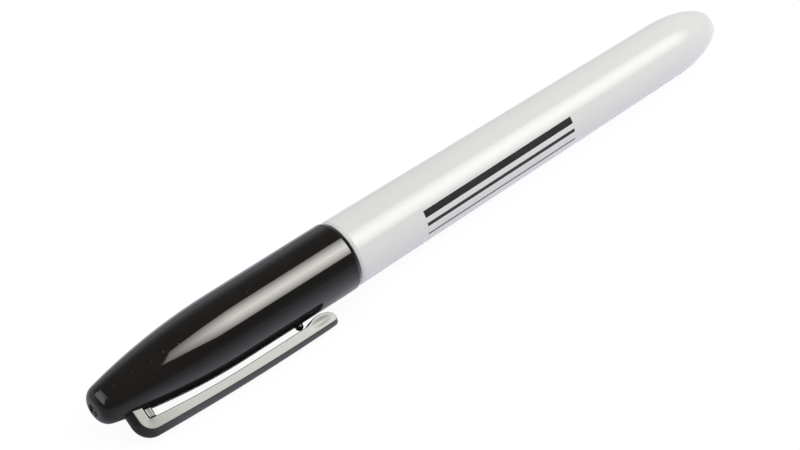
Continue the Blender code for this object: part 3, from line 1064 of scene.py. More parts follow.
@dataclass
class PocketClip(SubAssembly):
    """Clip strap with its root in the cap, its rounded outer face, its web and its dished lobe."""

    cap: Cap
    root_height: float = 4.74 * MM
    root_thickness: float = 1.76 * MM
    root_bend: float = 2.4 * MM
    root_sink: float = 0.6 * MM
    corner_fillet: float = 0.35 * MM
    inner_radius: float = 7.33 * MM
    outer_radius: float = 9.0 * MM
    tip_height: float = 43.9 * MM
    root_width: float = 3.77 * MM
    tip_width: float = 2.75 * MM
    root_crown: float = 1.02 * MM
    tip_crown: float = 0.66 * MM
    crown_fade: float = 1.35 * MM
    crown_round: float = 0.35
    waist: float = 0.15 * MM
    waist_length: float = 8.0 * MM
    inner_curve: float = 175.0 * MM
    inner_curve_end: float = 27.0 * MM
    outer_curve: float = 500.0 * MM
    outer_curve_end: float = 37.0 * MM
    inner_edge_round: float = 0.12 * MM
    inner_round_share: float = 0.3
    outer_edge_round: float = 0.06 * MM
    outer_round_share: float = 0.2
    side_inset: float = 0.1
    lobe_length: float = 5.8 * MM
    lobe_rise_length: float = 2.7 * MM
    lobe_rise: float = 0.68 * MM
    lobe_tip_depth: float = 1.55 * MM
    lobe_turn: float = 85.0
    outer_fillet: float = 0.6 * MM
    outer_fillet_end: float = 8.0
    dish_height: float = 41.0 * MM
    dish_radius: float = 7.85 * MM
    dish_length: float = 2.6 * MM
    dish_breadth: float = 0.85 * MM
    dish_depth: float = 0.11 * MM
    web_width: float = 1.6 * MM
    web_widest: float = 3.32 * MM
    web_foot: float = 1.8 * MM
    web_head: float = 1.6 * MM
    web_fillet: float = 0.35 * MM
    web_root_fillet: float = 0.65 * MM
    web_edge: float = 0.35 * MM
    web_draft: float = 0.06
    root_rows: int = 8
    bend_rows: int = 20
    arm_rows: int = 48
    rise_rows: int = 20
    tip_rows: int = 12
    face_columns: int = 25
    side_rows: int = 8
    edge_rows: int = 5
    back_columns: int = 6
    ease_steps: int = 4
    web_fillet_rows: int = 8
    web_rows: int = 4
    web_edge_rows: int = 6
    web_levels: int = 6
    web_fillet_levels: int = 14

    @property
    def base(self) -> float:
        """Distance from the axis at which the root starts, sunk in the cap."""
        return self.cap.radius_at(self.root_height) - self.root_sink

    @property
    def root_end(self) -> float:
        """Height of the root's face towards the lobe."""
        return self.root_height + self.root_thickness

    @property
    def lobe_start(self) -> float:
        """Height at which the lobe leaves the arm."""
        return self.tip_height - self.lobe_length

    @property
    def lobe_crest(self) -> float:
        """Height at which the lobe is thickest."""
        return self.lobe_start + self.lobe_rise_length

    def inner_at(self, height: float) -> float:
        """Radius of the arm's face towards the cap at a height."""
        inward = max(0.0, self.inner_curve_end - height)
        return self.inner_radius - self.inner_curve + math.sqrt(self.inner_curve**2 - inward**2)

    def outer_at(self, height: float) -> float:
        """Radius of the two edges of the arm's outer face at a height."""
        inward = self.outer_curve_end - height
        return self.outer_radius - self.outer_curve + math.sqrt(self.outer_curve**2 - inward**2)

    def between(self, height: float, root: float, tip: float) -> float:
        """Size at a height, where it changes evenly from the root to the tip."""
        share = (height - self.root_height) / (self.tip_height - self.root_height)
        return root + (tip - root) * share

    def outer_edge(self) -> list[Point]:
        """Edge of the outer face.

        Returns:
            Height and radius of each point, from the root to the tip.
        """
        bend = self.root_height + self.root_bend
        centre = (bend, self.outer_at(bend) - self.root_bend)
        lobe, crest = self.lobe_start, self.lobe_crest
        round_start = self.tip_height - self.outer_fillet
        tip = (round_start, self.outer_at(round_start) - self.outer_fillet)
        edge = [(self.root_height, r) for r in spaced(self.base, centre[1], self.root_rows)[:-1]]
        edge += arc(centre, self.root_bend, 180, 90, self.bend_rows)[:-1]
        heights = spaced(bend, lobe, self.arm_rows)[:-1] + spaced(lobe, crest, self.rise_rows)[:-1]
        heights += spaced(crest, round_start, self.tip_rows)[:-1]
        edge += [(h, self.outer_at(h)) for h in heights]
        return edge + arc(tip, self.outer_fillet, 90, self.outer_fillet_end, self.tip_rows)

    def inner_edge(self) -> list[Point]:
        """Line along the inner face.

        Returns:
            Height and radius of each point, point for point beside the outer edge.
        """
        corner = self.root_end + self.corner_fillet
        centre = (corner, self.inner_at(corner) - self.corner_fillet)
        lobe, crest = self.lobe_start, self.lobe_crest
        top = self.inner_radius - self.lobe_rise
        edge = [(self.root_end, r) for r in spaced(self.base, centre[1], self.root_rows)[:-1]]
        edge += arc(centre, self.corner_fillet, 180, 90, self.bend_rows)[:-1]
        edge += [(h, self.inner_at(h)) for h in spaced(corner, lobe, self.arm_rows)[:-1]]
        for share in spaced(0.0, 1.0, self.rise_rows)[:-1]:
            rise = self.lobe_rise * (1 - math.cos(math.pi * share)) / 2
            edge.append((lobe + self.lobe_rise_length * share, self.inner_radius - rise))
        for turn in spaced(0.0, math.radians(self.lobe_turn), 2 * self.tip_rows):
            along = (self.tip_height - crest) * math.sin(turn)
            edge.append((crest + along, top + self.lobe_tip_depth * (1 - math.cos(turn))))
        return edge

    def section(self, thickness: float, half: float, crown: float) -> list[Point]:
        """Outline across the strap: a rounded outer face, flat sides and a flat inner face.

        Args:
            thickness: Distance from the outer face's edges to the inner face.
            half: Half the width.
            crown: Height of the middle of the outer face above its edges.

        Returns:
            Depth under the outer face's edges and offset across, all the way round.
        """
        corner = min(self.outer_edge_round, self.outer_round_share * thickness)
        edge = min(self.inner_edge_round, self.inner_round_share * thickness)
        ridge = self.crown_round * half
        fall = math.hypot(half, ridge) - ridge
        offsets = spaced(corner - half, half - corner, self.face_columns)
        face = [(crown * ((math.hypot(y, ridge) - ridge) / fall - 1), y) for y in offsets]
        inset = self.side_inset * thickness
        depths = spaced(corner + inset, thickness - inset - edge, self.side_rows)
        side = self.eased(face[-1], (0.0, half), (corner, half)) + [(d, half) for d in depths]
        side += arc((thickness - edge, half - edge), edge, 90, 0, self.edge_rows)
        reach = (1 - self.side_inset) * (half - edge)
        back = [(thickness, y) for y in spaced(reach, -reach, self.back_columns)]
        return face + side + back + [(depth, -offset) for depth, offset in reversed(side)]

    def eased(self, start: Point, corner: Point, end: Point) -> list[Point]:
        """Curve that cuts a corner, its first point left out.

        Args:
            start: Where it leaves one side.
            corner: The corner.
            end: Where it joins the other side.

        Returns:
            The points after the first.
        """
        first, middle, last = Vector(start), Vector(corner), Vector(end)
        shares = spaced(0.0, 1.0, self.ease_steps)[1:]
        return [tuple(first.lerp(middle, t).lerp(middle.lerp(last, t), t)) for t in shares]

    def dish_at(self, height: float, radius: float) -> float:
        """Depth of the shallow dish in the lobe's side.

        Args:
            height: Distance from the closed end.
            radius: Distance from the axis.

        Returns:
            How far the side lies in from its plane.
        """
        along = (height - self.dish_height) / self.dish_length
        across = (radius - self.dish_radius) / self.dish_breadth
        return self.dish_depth * max(0.0, 1 - along**2 - across**2) ** 2

    def strap(self) -> Piece:
        """Strap, lofted from the pairs of points on its outer and inner edges.

        Returns:
            The strap in the marker's frame.
        """
        rings = []
        edge = [Vector(point) for point in self.outer_edge()]
        for i, (start, inner) in enumerate(zip(edge, self.inner_edge())):
            inward = Vector(inner) - start
            along = edge[min(i + 1, len(edge) - 1)] - edge[max(i - 1, 0)]
            outwards = Vector((-along.y, along.x)).normalized()
            half = self.between(start.x, self.root_width, self.tip_width) / 2
            half -= self.waist * max(0.0, 1 - (start.x - self.root_height) / self.waist_length) ** 2
            crown = self.between(start.x, self.root_crown, self.tip_crown)
            crown *= min(1.0, inward.length / self.crown_fade)
            ring = []
            for depth, offset in self.section(inward.length, half, crown):
                height, radius = start + (inward.normalized() * depth if depth > 0 else outwards * -depth)
                side = abs(offset) >= half - WELD
                sunk = math.copysign(self.dish_at(height, radius), offset) if side else 0.0
                ring.append((radius, offset - sunk, height))
            rings.append(ring)
        return self.skin("pocket_clip_visual", rings)

    def web_ring(self, radius: float) -> list[Corner]:
        """Section through the web at one distance from the axis, hollowed into the root and the arm.

        Args:
            radius: Distance from the axis.

        Returns:
            The points of the section, all the way round.
        """
        root_end = self.root_end
        foot, head = root_end + self.web_foot, root_end + self.web_head
        top = self.inner_at(head)
        rise = min(1.0, (radius - self.base) / (top - self.base))
        edge = foot + (head - foot) * rise + self.hollow(radius - top, self.web_fillet)
        heights = [root_end - self.root_thickness / 2]
        heights += spaced(root_end, root_end + self.web_root_fillet, self.web_fillet_rows)
        heights += spaced(heights[-1], edge - self.web_edge, self.web_rows)[1:]
        turns = spaced(0.0, math.pi / 2, self.web_edge_rows)[1:]
        heights += [edge - self.web_edge * (1 - math.sin(turn)) for turn in turns]
        side = []
        for height in heights:
            half = self.web_width / 2 + self.hollow(root_end - height, self.web_root_fillet)
            half += self.hollow(radius - self.inner_at(height), self.web_fillet)
            half -= self.hollow(height - edge, self.web_edge)
            half += self.web_draft * (height - root_end)
            side.append((radius, min(half, self.web_widest / 2), height))
        return side + [(x, -y, z) for x, y, z in reversed(side)]

    @staticmethod
    def hollow(past: float, fillet: float) -> float:
        """How far a fillet has left a face, at a distance past the face that it ends on."""
        share = min(1.0, max(0.0, 1 + past / fillet))
        return fillet * (1 - math.sqrt(1 - share**2))

    def web(self) -> Piece:
        """Web in the corner of the clip, with its foot on the cap and its head on the arm.

        Returns:
            The web in the marker's frame.
        """
        top = self.inner_at(self.root_end + self.web_head)
        sunk = top + (self.outer_radius - self.inner_radius) / 3
        levels = spaced(self.base, top - self.web_fillet, self.web_levels)
        levels += spaced(top - self.web_fillet, sunk, self.web_fillet_levels)[1:]
        return self.skin("clip_web_form", [self.web_ring(level) for level in levels])

    @staticmethod
    def skin(name: str, rings: Sequence[Sequence[Corner]]) -> Piece:
        """Cover rings that have the same number of points, and close both ends.

        Args:
            name: Name of the piece.
            rings: The rings in order.

        Returns:
            The piece, its faces turned outwards.
        """
        shape = bmesh.new()
        made = [[shape.verts.new(point) for point in ring] for ring in rings]
        for one, two in zip(made, made[1:]):
            for i in range(len(one)):
                shape.faces.new((one[i - 1], one[i], two[i], two[i - 1]))
        shape.faces.new(made[0])
        shape.faces.new(made[-1])
        bmesh.ops.recalc_face_normals(shape, faces=shape.faces)
        return place(name, shape)

    def build(self) -> None:
        """Build the clip, with its web joined to it at the root."""
        clip, web = self.strap(), self.web()
        clip.data.materials.append(CAP_BLACK.material())
        joined = clip.modifiers.new("Web", "BOOLEAN")
        joined.operation = "UNION"
        joined.solver = "EXACT"
        joined.object = web
        settle(clip)
        bpy.data.objects.remove(web, do_unlink=True)
        self.seat(clip)
        root = self.root_height + self.root_thickness / 2
        start = self.at.world(self.cap.radius_at(root), root)
        end = self.at.world(self.inner_at(root), root)
        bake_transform(clip)
        self.report(clip, Slot.CAP, "pocket_clip")


@dataclass
class Barrel(SubAssembly):
    """Barrel with its lead, taper and rounded tail, and the printed line samples on it."""

    radius: float = 6.12 * MM
    tail_radius: float = 5.24 * MM
    lead_length: float = 0.6 * MM
    lead_drop: float = 0.25 * MM
    edge: float = 0.2 * MM
    lead_edge: float = 0.03 * MM
    mouth_reach: float = 0.2 * MM
    tail_length: float = 10.6 * MM
    tail_flat: float = 2.4 * MM
    tail_edge: float = 0.15 * MM
    bore_mouth: float = 4.55 * MM
    bore_end: float = 4.19 * MM
    end_wall: float = 7.5 * MM
    bore_fillet: float = 1.5 * MM
    stripe_count: int = 3
    stripe_start: float = 66.0 * MM
    stripe_length: float = 34.0 * MM
    stripe_widest: float = 1.3 * MM
    stripe_pitch: float = 2.0 * MM
    stripe_turn: float = -46.0
    stripe_film: float = 0.012 * MM
    steps: int = 192
    tail_rows: int = 40
    taper_rows: int = 24

    def ends(self) -> Point:
        """Heights of the mouth, which reaches into the solids' gap to the cap, and of the tail."""
        shoulder, tail = self.at.span("barrel")
        return shoulder - self.mouth_reach, tail

    def profile(self) -> list[Point]:
        """Barrel with its bore.

        Returns:
            The profile from the middle of the tail's flat, along the outside and up the bore.
        """
        shoulder, tail = self.ends()
        start = tail - self.tail_length
        flat = math.asin(self.tail_flat / self.tail_radius)
        round_tail = []
        for turn in spaced(flat, math.pi / 2, self.tail_rows):
            share = math.cos(turn) / math.cos(flat)
            round_tail.append((self.tail_radius * math.sin(turn), start + self.tail_length * share))
        body_top = shoulder + self.lead_length
        radii = spaced(self.tail_radius, self.radius, self.taper_rows)
        straight = list(zip(radii, spaced(start, body_top, self.taper_rows)))
        bore_top = tail - self.end_wall
        corners = [
            (0.0, tail, 0.0),
            (*round_tail[0], self.tail_edge),
            *sharp(round_tail[1:]),
            *sharp(straight[1:-1]),
            (self.radius, body_top, self.lead_edge),
            (self.radius - self.lead_drop, shoulder, self.edge),
            (self.bore_mouth, shoulder, self.edge),
            (self.bore_end, bore_top, self.bore_fillet),
            (0.0, bore_top, 0.0),
        ]
        return rounded(corners)

    def stripes(self) -> Piece:
        """Printed line samples, thick to thin.

        Returns:
            The print in the marker's frame, as a thin film of ink.
        """
        shoulder, tail = self.ends()
        body_top = shoulder + self.lead_length
        slope = (self.radius - self.tail_radius) / (tail - self.tail_length - body_top)
        values = {
            "Count": self.stripe_count,
            "Start": self.stripe_start,
            "Length": self.stripe_length,
            "Widest": self.stripe_widest,
            "Pitch": self.stripe_pitch,
            "Turn": math.radians(self.stripe_turn),
            "Radius At Zero": self.radius + slope * body_top,
            "Taper": slope,
            "Material": PRINT_INK.material(),
        }
        piece = StripeTree().grow("barrel_print", [], values)
        film = piece.modifiers.new("Film", "SOLIDIFY")
        film.thickness = 2 * self.stripe_film
        film.offset = 0.0
        settle(piece)
        return piece

    def build(self) -> None:
        """Build the barrel and its print."""
        pale = BARREL_PALE.material()
        self.stand_in("barrel", self.profile(), self.steps, pale, Body.BARREL, Slot.BARREL)
        self.show(self.stripes(), Body.BARREL, Slot.SECTION)


@dataclass
class WritingParts(SubAssembly):
    """Front section, nib, ink rod and its film."""

    strands: StrandTree
    neck_length: float = 15.2 * MM
    neck_radius: float = 4.83 * MM
    plug_length: float = 5.5 * MM
    plug_radius: float = 4.22 * MM
    plug_hollow: float = 3.0 * MM
    bead_height: float = 0.15 * MM
    bead_half_length: float = 0.8 * MM
    bead_from_shoulder: float = 5.0 * MM
    land_length: float = 3.0 * MM
    land_radius: float = 3.98 * MM
    nose_step: float = 0.5 * MM
    nose_hollow: float = 1.3
    tip_wall: float = 0.4 * MM
    throat_length: float = 4.0 * MM
    edge: float = 0.12 * MM
    nib_radius: float = 1.2 * MM
    nib_bore: float = 1.5 * MM
    nib_tip_radius: float = 0.5 * MM
    nib_exposed: float = 4.0 * MM
    nib_held_share: float = 1.1
    nib_straight_share: float = 0.75
    nib_point: float = 1.2 * MM
    nib_strand: float = 0.045 * MM
    nib_strands: int = 84
    nib_unevenness: float = 0.03
    rod_radius: float = 3.35 * MM
    rod_strand: float = 0.11 * MM
    rod_strands: int = 96
    rod_unevenness: float = 0.02
    rod_margin: float = 0.44 * MM
    rod_hole: float = 4.3 * MM
    film_radius: float = 3.88 * MM
    film_thickness: float = 0.2 * MM
    section_steps: int = 144
    nib_steps: int = 64
    rod_steps: int = 96
    bead_rows: int = 16
    nose_rows: int = 24
    tip_rows: int = 10
    strand_rows: int = 12
    film_rows: int = 3

    def section_profile(self) -> list[Point]:
        """Front section: plug, neck with its bead, land, hollow nose and bore.

        Returns:
            The closed profile.
        """
        nose_end, plug_end = self.at.span("nib_holder")
        shoulder = plug_end - self.plug_length
        neck_end = shoulder - self.neck_length
        land_end = neck_end - self.land_length
        bead = shoulder - self.bead_from_shoulder
        tip_radius = self.nib_bore + self.tip_wall
        neck_bead = []
        for share in spaced(1.0, -1.0, self.bead_rows):
            rise = self.bead_height * (1 + math.cos(math.pi * share)) / 2
            neck_bead.append((self.neck_radius + rise, bead + self.bead_half_length * share))
        nose = []
        for share in spaced(1.0, 0.0, self.nose_rows):
            spread = (self.land_radius - self.nose_step - tip_radius) * share**self.nose_hollow
            nose.append((tip_radius + spread, nose_end + (land_end - nose_end) * share))
        corners = [
            (self.plug_hollow, plug_end, 0.0),
            (self.plug_radius, plug_end, 3 * self.edge),
            (self.plug_radius, shoulder, self.edge),
            (self.neck_radius, shoulder, self.edge),
            *sharp(neck_bead),
            (self.neck_radius, neck_end, 3 * self.edge),
            (self.land_radius, neck_end, self.edge),
            (self.land_radius, land_end, self.edge),
            (*nose[0], self.edge),
            *sharp(nose[1:-1]),
            (*nose[-1], self.edge),
            (self.nib_bore, nose_end, self.edge),
            (self.nib_bore, neck_end, self.edge),
            (self.plug_hollow, neck_end + self.throat_length, self.edge),
            (self.plug_hollow, plug_end, 0.0),
        ]
        return rounded(corners)

    def nib_side(self) -> list[Point]:
        """Shaped side of the nib.

        Returns:
            Radius and height of each point, from where the nose holds it to the writing tip.
        """
        tip = self.at.span("nib")[0]
        shares = (self.nib_held_share, self.nib_straight_share)
        side = [(self.nib_radius, tip + share * self.nib_exposed) for share in shares]
        point = arc((0.0, tip + self.nib_tip_radius), self.nib_tip_radius, 0, -90, self.tip_rows)
        return side + point[:-1] + [(0.0, tip)]

    def nib_profile(self) -> list[Point]:
        """Nib from the end in the ink rod to the writing tip.

        Returns:
            The profile.
        """
        rear = self.at.span("nib")[1]
        side = self.nib_side()
        corners = [
            (0.0, rear, 0.0),
            (self.nib_radius / 2, rear, self.edge),
            (self.nib_radius, rear - self.nib_point, self.edge),
            (*side[1], 3 * self.edge),
            *sharp(side[2:]),
        ]
        return rounded(corners)

    def rod_profile(self) -> list[Point]:
        """Ink rod with a blind hole for the nib.

        Returns:
            The profile.
        """
        start, end = self.at.span("ink_reservoir")
        corners = [
            (0.0, end, 0.0),
            (self.rod_radius, end, 3 * self.edge),
            (self.rod_radius, start, 3 * self.edge),
            (self.nib_bore, start, self.edge),
            (self.nib_bore, start + self.rod_hole, self.edge),
            (0.0, start + self.rod_hole, 0.0),
        ]
        return rounded(corners)

    def film_profile(self) -> list[Point]:
        """Film tube.

        Returns:
            The closed profile.
        """
        start, end = self.at.span("reservoir_film")
        inner = self.film_radius - self.film_thickness
        edge = self.film_thickness / 3
        seam = (inner, (start + end) / 2, 0.0)
        rim = [(inner, end), (self.film_radius, end), (self.film_radius, start), (inner, start)]
        return rounded([seam, *[(*corner, edge) for corner in rim], seam], self.film_rows)

    def lay(
        self,
        name: str,
        path: Sequence[Point],
        sizes: tuple[int, float, float],
        material: Material,
        slot: Slot,
    ) -> None:
        """Lay strands along a path on the side of a fibre piece, and show them.

        Args:
            name: Name of the strands.
            path: Radius and height of each point that a strand follows.
            sizes: Number of strands, radius of one, and the share of its distance that one may be sunk.
            material: Their material.
            slot: Their material slot.
        """
        values = dict(zip(("Count", "Strand Radius", "Unevenness"), sizes))
        values |= {"Seed": STRAND_SEED, "Material": material}
        self.show(self.strands.grow(name, path, values), Body.BARREL, slot)

    def build(self) -> None:
        """Build the writing parts, all of which stay with the barrel."""
        body = Body.BARREL
        dark, felt = SECTION_DARK.material(), NIB_FELT.material()
        self.stand_in("nib_holder", self.section_profile(), self.section_steps, dark, body, Slot.SECTION)
        self.stand_in("nib", self.nib_profile(), self.nib_steps, felt, body, Slot.NIB)
        fibres = (self.nib_strands, self.nib_strand, self.nib_unevenness)
        self.lay("nib_fibres", self.nib_side()[:-2], fibres, felt, Slot.NIB)

        wadding, clear = INK_WADDING.material(), FILM_CLEAR.material()
        self.stand_in("ink_reservoir", self.rod_profile(), self.rod_steps, wadding, body, Slot.INK)
        start, end = self.at.span("ink_reservoir")
        heights = spaced(end - self.rod_margin, start + self.rod_margin, self.strand_rows)
        wisps = (self.rod_strands, self.rod_strand, self.rod_unevenness)
        self.lay("ink_reservoir_fibres", [(self.rod_radius, h) for h in heights], wisps, wadding, Slot.INK)
        self.stand_in("reservoir_film", self.film_profile(), self.rod_steps, clear, body, Slot.FILM)


@dataclass(frozen=True)
class Softbox:
    """Flat softbox, brightest at its middle, that shows in glossy surfaces.

    Attributes:
        name: Name of the panel.
        azimuth: Bearing of the panel from what it lights, in degrees from +X.
        elevation: Height of the panel above the horizon, in degrees.
        outline: Corners along and across the seam from its middle, for each metre of distance.
        peak: Brightness of its brightest part.
        fade: Width of that part along and across the seam, for each metre of distance.
        colour: Tint of the light.
        middle: Place of the brightest part along the seam, for each metre of distance.
        beyond: How much faster it fades beyond that place than before it.
        seam: Share by which the seam through its middle is brighter.
        seam_lean: Angle of that seam from level, in degrees.
        seam_width: Width of that seam, for each metre of distance.
        distance: Distance of the panel from what it lights.
    """

    name: str
    azimuth: float
    elevation: float
    outline: tuple[Point, ...]
    peak: float
    fade: Point
    colour: Colour
    middle: float = 0.0
    beyond: float = 0.5
    seam: float = 0.0
    seam_lean: float = 0.0
    seam_width: float = 0.02
    distance: float = 1.2

    def direction(self) -> Vector:
        """Direction from what is lit to the panel.

        Returns:
            The direction, of length one.
        """
        bearing, rise = math.radians(self.azimuth), math.radians(self.elevation)
        flat = math.cos(rise)
        return Vector((flat * math.cos(bearing), flat * math.sin(bearing), math.sin(rise)))

    def material(self) -> Material:
        """Build the glow of the panel, which fades from its brightest part to its ends.

        Returns:
            The material.
        """
        material, graph = new_material(self.name)
        where = graph.add("ShaderNodeTexCoord").outputs["Object"]
        lean = math.radians(self.seam_lean)
        along = self.reading(graph, where, (math.cos(lean), math.sin(lean)))
        across = self.reading(graph, where, (-math.sin(lean), math.cos(lean)))
        past = graph.math("SUBTRACT", along, self.middle)
        behind = graph.math("GREATER_THAN", past, 0.0)
        rate = graph.math("MULTIPLY_ADD", behind, self.beyond - 1.0, 1.0)
        far = self.bell(graph, graph.product(past, rate), self.fade[0])
        aside = self.bell(graph, across, self.fade[1])
        lift = graph.math("MULTIPLY_ADD", self.bell(graph, across, self.seam_width), self.seam, 1.0)
        strength = graph.product(far, aside, lift, self.peak)
        glow = graph.out("ShaderNodeEmission", {"Color": (*self.colour, 1.0), "Strength": strength})
        graph.add("ShaderNodeOutputMaterial", {"Surface": glow})
        return material

    def reading(self, graph: NodeGraph, where: Socket, direction: Point) -> Socket:
        """Distance from the panel's middle in a direction, for each metre of the panel's own distance.

        Args:
            graph: The panel's graph.
            where: Place on the panel.
            direction: Direction in the panel's plane.

        Returns:
            The reading.
        """
        scaled = (direction[0] / self.distance, direction[1] / self.distance, 0.0)
        dot = graph.add("ShaderNodeVectorMath", {0: where, 1: scaled}, operation="DOT_PRODUCT")
        return dot.outputs["Value"]

    @staticmethod
    def bell(graph: NodeGraph, offset: Socket, width: float) -> Socket:
        """Bell curve of a width on an offset from its middle, where it is one."""
        share = graph.math("DIVIDE", offset, width)
        return graph.math("EXPONENT", graph.product(share, share, -0.5))

    def hang(self, aim: Vector) -> None:
        """Hang the panel so that it faces a point.

        Args:
            aim: The point that it faces.
        """
        away = self.direction()
        level = Vector((0.0, 0.0, 1.0)).cross(away).normalized()
        facing = Matrix((level, away.cross(level), away)).transposed().to_4x4()
        shape = bmesh.new()
        corners = [(x * self.distance, y * self.distance, 0.0) for x, y in self.outline]
        shape.faces.new([shape.verts.new(corner) for corner in corners])
        lean = Matrix.Rotation(math.radians(self.seam_lean), 3, "Z")
        bmesh.ops.rotate(shape, verts=shape.verts, matrix=lean)
        panel = place(self.name, shape)
        panel.data.materials.append(self.material())
        panel.matrix_world = Matrix.Translation(aim + away * self.distance) @ facing
        for rays in ("camera", "diffuse", "transmission", "volume_scatter", "shadow"):
            setattr(panel, f"visible_{rays}", False)


@dataclass(frozen=True)
class FloorFade:
    """How the painted pool of light on the floor, seen in reflections, falls off away from the marker.

    Attributes:
        level: Brightness beside the marker.
        half: Distance at which half of it is left.
        power: How sharply it falls.
    """

    level: float
    half: float
    power: float

    def at(self, graph: NodeGraph, away: Socket) -> Socket:
        """Brightness at a distance from the marker."""
        share = graph.math("POWER", graph.math("DIVIDE", away, self.half), self.power)
        return graph.math("DIVIDE", self.level, graph.math("ADD", share, 1.0))


@dataclass(frozen=True)
class Studio:
    """White floor, soft light and the camera at the photograph's viewing angle.

    Attributes:
        camera_place: Where the camera stands.
        camera_target: Point at the middle of its view.
        camera_roll: How far its top leans to the right, in degrees.
        floor_front: Fade of the painted pool of light on the floor towards -Y, in reflections.
        floor_back: Fade of the painted pool of light towards +Y.
        floor_end: Distance along X, towards the closed end, past which the painted pool of light fades
            faster into painted shade.
        front_sweep: Sine of the elevation and brightness of the surroundings, towards -Y.
        back_sweep: The same towards +Y.
    """

    camera_place: Place = (-227.571 * MM, -289.238 * MM, 358.545 * MM)
    camera_target: Place = (-4.664 * MM, 0.147 * MM, 5.525 * MM)
    camera_roll: float = 4.207
    lens: float = 135.0
    sensor: float = 36.0
    near_clip: float = 0.01
    floor_size: float = 6.0
    floor_bounce: Colour = (0.68, 0.67, 0.77)
    floor_shown: float = 0.93
    floor_shadow: Colour = (0.09, 0.09, 0.09)
    floor_pool_tint: Colour = (0.96, 0.94, 1.08)
    floor_front: FloorFade = FloorFade(1.35, 13.0 * MM, 2.0)
    floor_back: FloorFade = FloorFade(1.0, 150.0 * MM, 1.0)
    floor_join: float = 5.0 * MM
    floor_limit: float = 1.5
    floor_far: float = 0.29
    floor_end: float = 55.0 * MM
    floor_end_fall: float = 3.0
    front_sweep: tuple[Point, ...] = ((-0.8, 0.98), (-0.2, 0.36), (0.0, 0.17), (0.25, 0.03), (1.0, 0.06))
    back_sweep: tuple[Point, ...] = ((-0.8, 0.98), (-0.3, 0.72), (0.2, 0.53), (0.6, 0.12), (1.0, 0.06))
    back_start: float = 0.8
    low_tint: Colour = (1.0, 0.985, 1.05)
    high_tint: Colour = (1.0, 0.985, 1.0)
    ambient: Colour = (0.8, 0.8, 0.79)
    lamp_size: float = 0.9
    lamp_power: float = 3.2
    key: Softbox = Softbox(
        name="key_softbox",
        azimuth=-33.54,
        elevation=47.28,
        outline=(
            (-0.02, 0.49),
            (-0.15, 0.505),
            (-0.33, 0.43),
            (-0.487, 0.33),
            (-0.56, -0.14),
            (-0.5, -0.225),
            (-0.283, -0.455),
            (0.12, -0.41),
            (0.31, -0.2),
            (0.31, 0.15),
        ),
        peak=12.2,
        fade=(0.255, 0.292),
        colour=(1.0, 0.985, 0.93),
        middle=-0.08,
        beyond=1.3,
        seam=0.12,
        seam_lean=-47.9,
        seam_width=0.03,
    )
    fill: Softbox = Softbox(
        name="fill_softbox",
        azimuth=171.0,
        elevation=50.0,
        outline=(
            (-0.7, -0.365),
            (0.5, -0.354),
            (0.736, -0.267),
            (0.46, 0.5),
            (-0.68, 0.48),
            (-0.749, 0.165),
        ),
        peak=1.7,
        fade=(1.4, 1.4),
        colour=(1.0, 0.99, 0.97),
    )

    def shoot(self) -> None:
        """Set up the camera."""
        data = bpy.data.cameras.new("camera")
        data.lens = self.lens
        data.sensor_width = self.sensor
        data.clip_start = self.near_clip
        camera = link("camera", data)
        stand, target = Vector(self.camera_place), Vector(self.camera_target)
        look = (target - stand).to_track_quat("-Z", "Y").to_matrix().to_4x4()
        lean = Matrix.Rotation(math.radians(-self.camera_roll), 4, "Z")
        camera.matrix_world = Matrix.Translation(stand) @ look @ lean
        bpy.context.scene.camera = camera

    def painted_pool_colour(self, graph: NodeGraph) -> Socket:
        """Painted pool of light: colour of the floor in reflections, bright beside the marker and falling
        off away from it, with painted shade past the closed end.

        Args:
            graph: The floor's graph.

        Returns:
            The colour's socket.
        """
        x, y, _ = graph.split(graph.add("ShaderNodeNewGeometry").outputs["Position"])
        past_end = graph.math("MAXIMUM", graph.math("MULTIPLY_ADD", x, -1.0, -self.floor_end), 0.0)
        aside = graph.math("POWER", graph.product(past_end, self.floor_end_fall), 2.0)
        away = graph.math("SQRT", graph.math("MULTIPLY_ADD", y, y, aside))
        front = graph.math("ADD", self.floor_front.at(graph, away), self.floor_far)
        back = self.floor_back.at(graph, away)
        behind = graph.ramp(y, -self.floor_join, self.floor_join)
        both = graph.math("MULTIPLY_ADD", graph.math("SUBTRACT", back, front), behind, front)
        level = graph.math("MINIMUM", both, self.floor_limit)
        tint = {0: self.floor_pool_tint, "Scale": level}
        return graph.out("ShaderNodeVectorMath", tint, operation="SCALE")

    def lay_floor(self) -> None:
        """Lay the white floor, which keeps a faint shadow of the marker and shows a painted pool of light
        in reflections.
        """
        material, graph = new_material("white_floor")
        bounce = graph.out("ShaderNodeBsdfDiffuse", {"Color": (*self.floor_bounce, 1.0)})
        shaded = graph.out("ShaderNodeBsdfDiffuse", {"Color": (*self.floor_shadow, 1.0)})
        glow = graph.out("ShaderNodeEmission", {"Color": WHITE, "Strength": self.floor_shown})
        shown = graph.out("ShaderNodeAddShader", {0: shaded, 1: glow})
        # Painted light: in reflections the floor shows a painted pool of light beside the marker, fading
        # away from it, and painted shade past the cap's closed end.
        painted_pool = graph.out("ShaderNodeBsdfDiffuse", {"Color": self.painted_pool_colour(graph)})
        rays = graph.add("ShaderNodeLightPath").outputs
        unseen = graph.choose(rays["Is Glossy Ray"], bounce, painted_pool)
        surface = graph.choose(rays["Is Camera Ray"], unseen, shown)
        graph.add("ShaderNodeOutputMaterial", {"Surface": surface})
        shape = bmesh.new()
        bmesh.ops.create_grid(shape, x_segments=1, y_segments=1, size=self.floor_size / 2)
        floor = place("floor", shape)
        floor.data.materials.append(material)

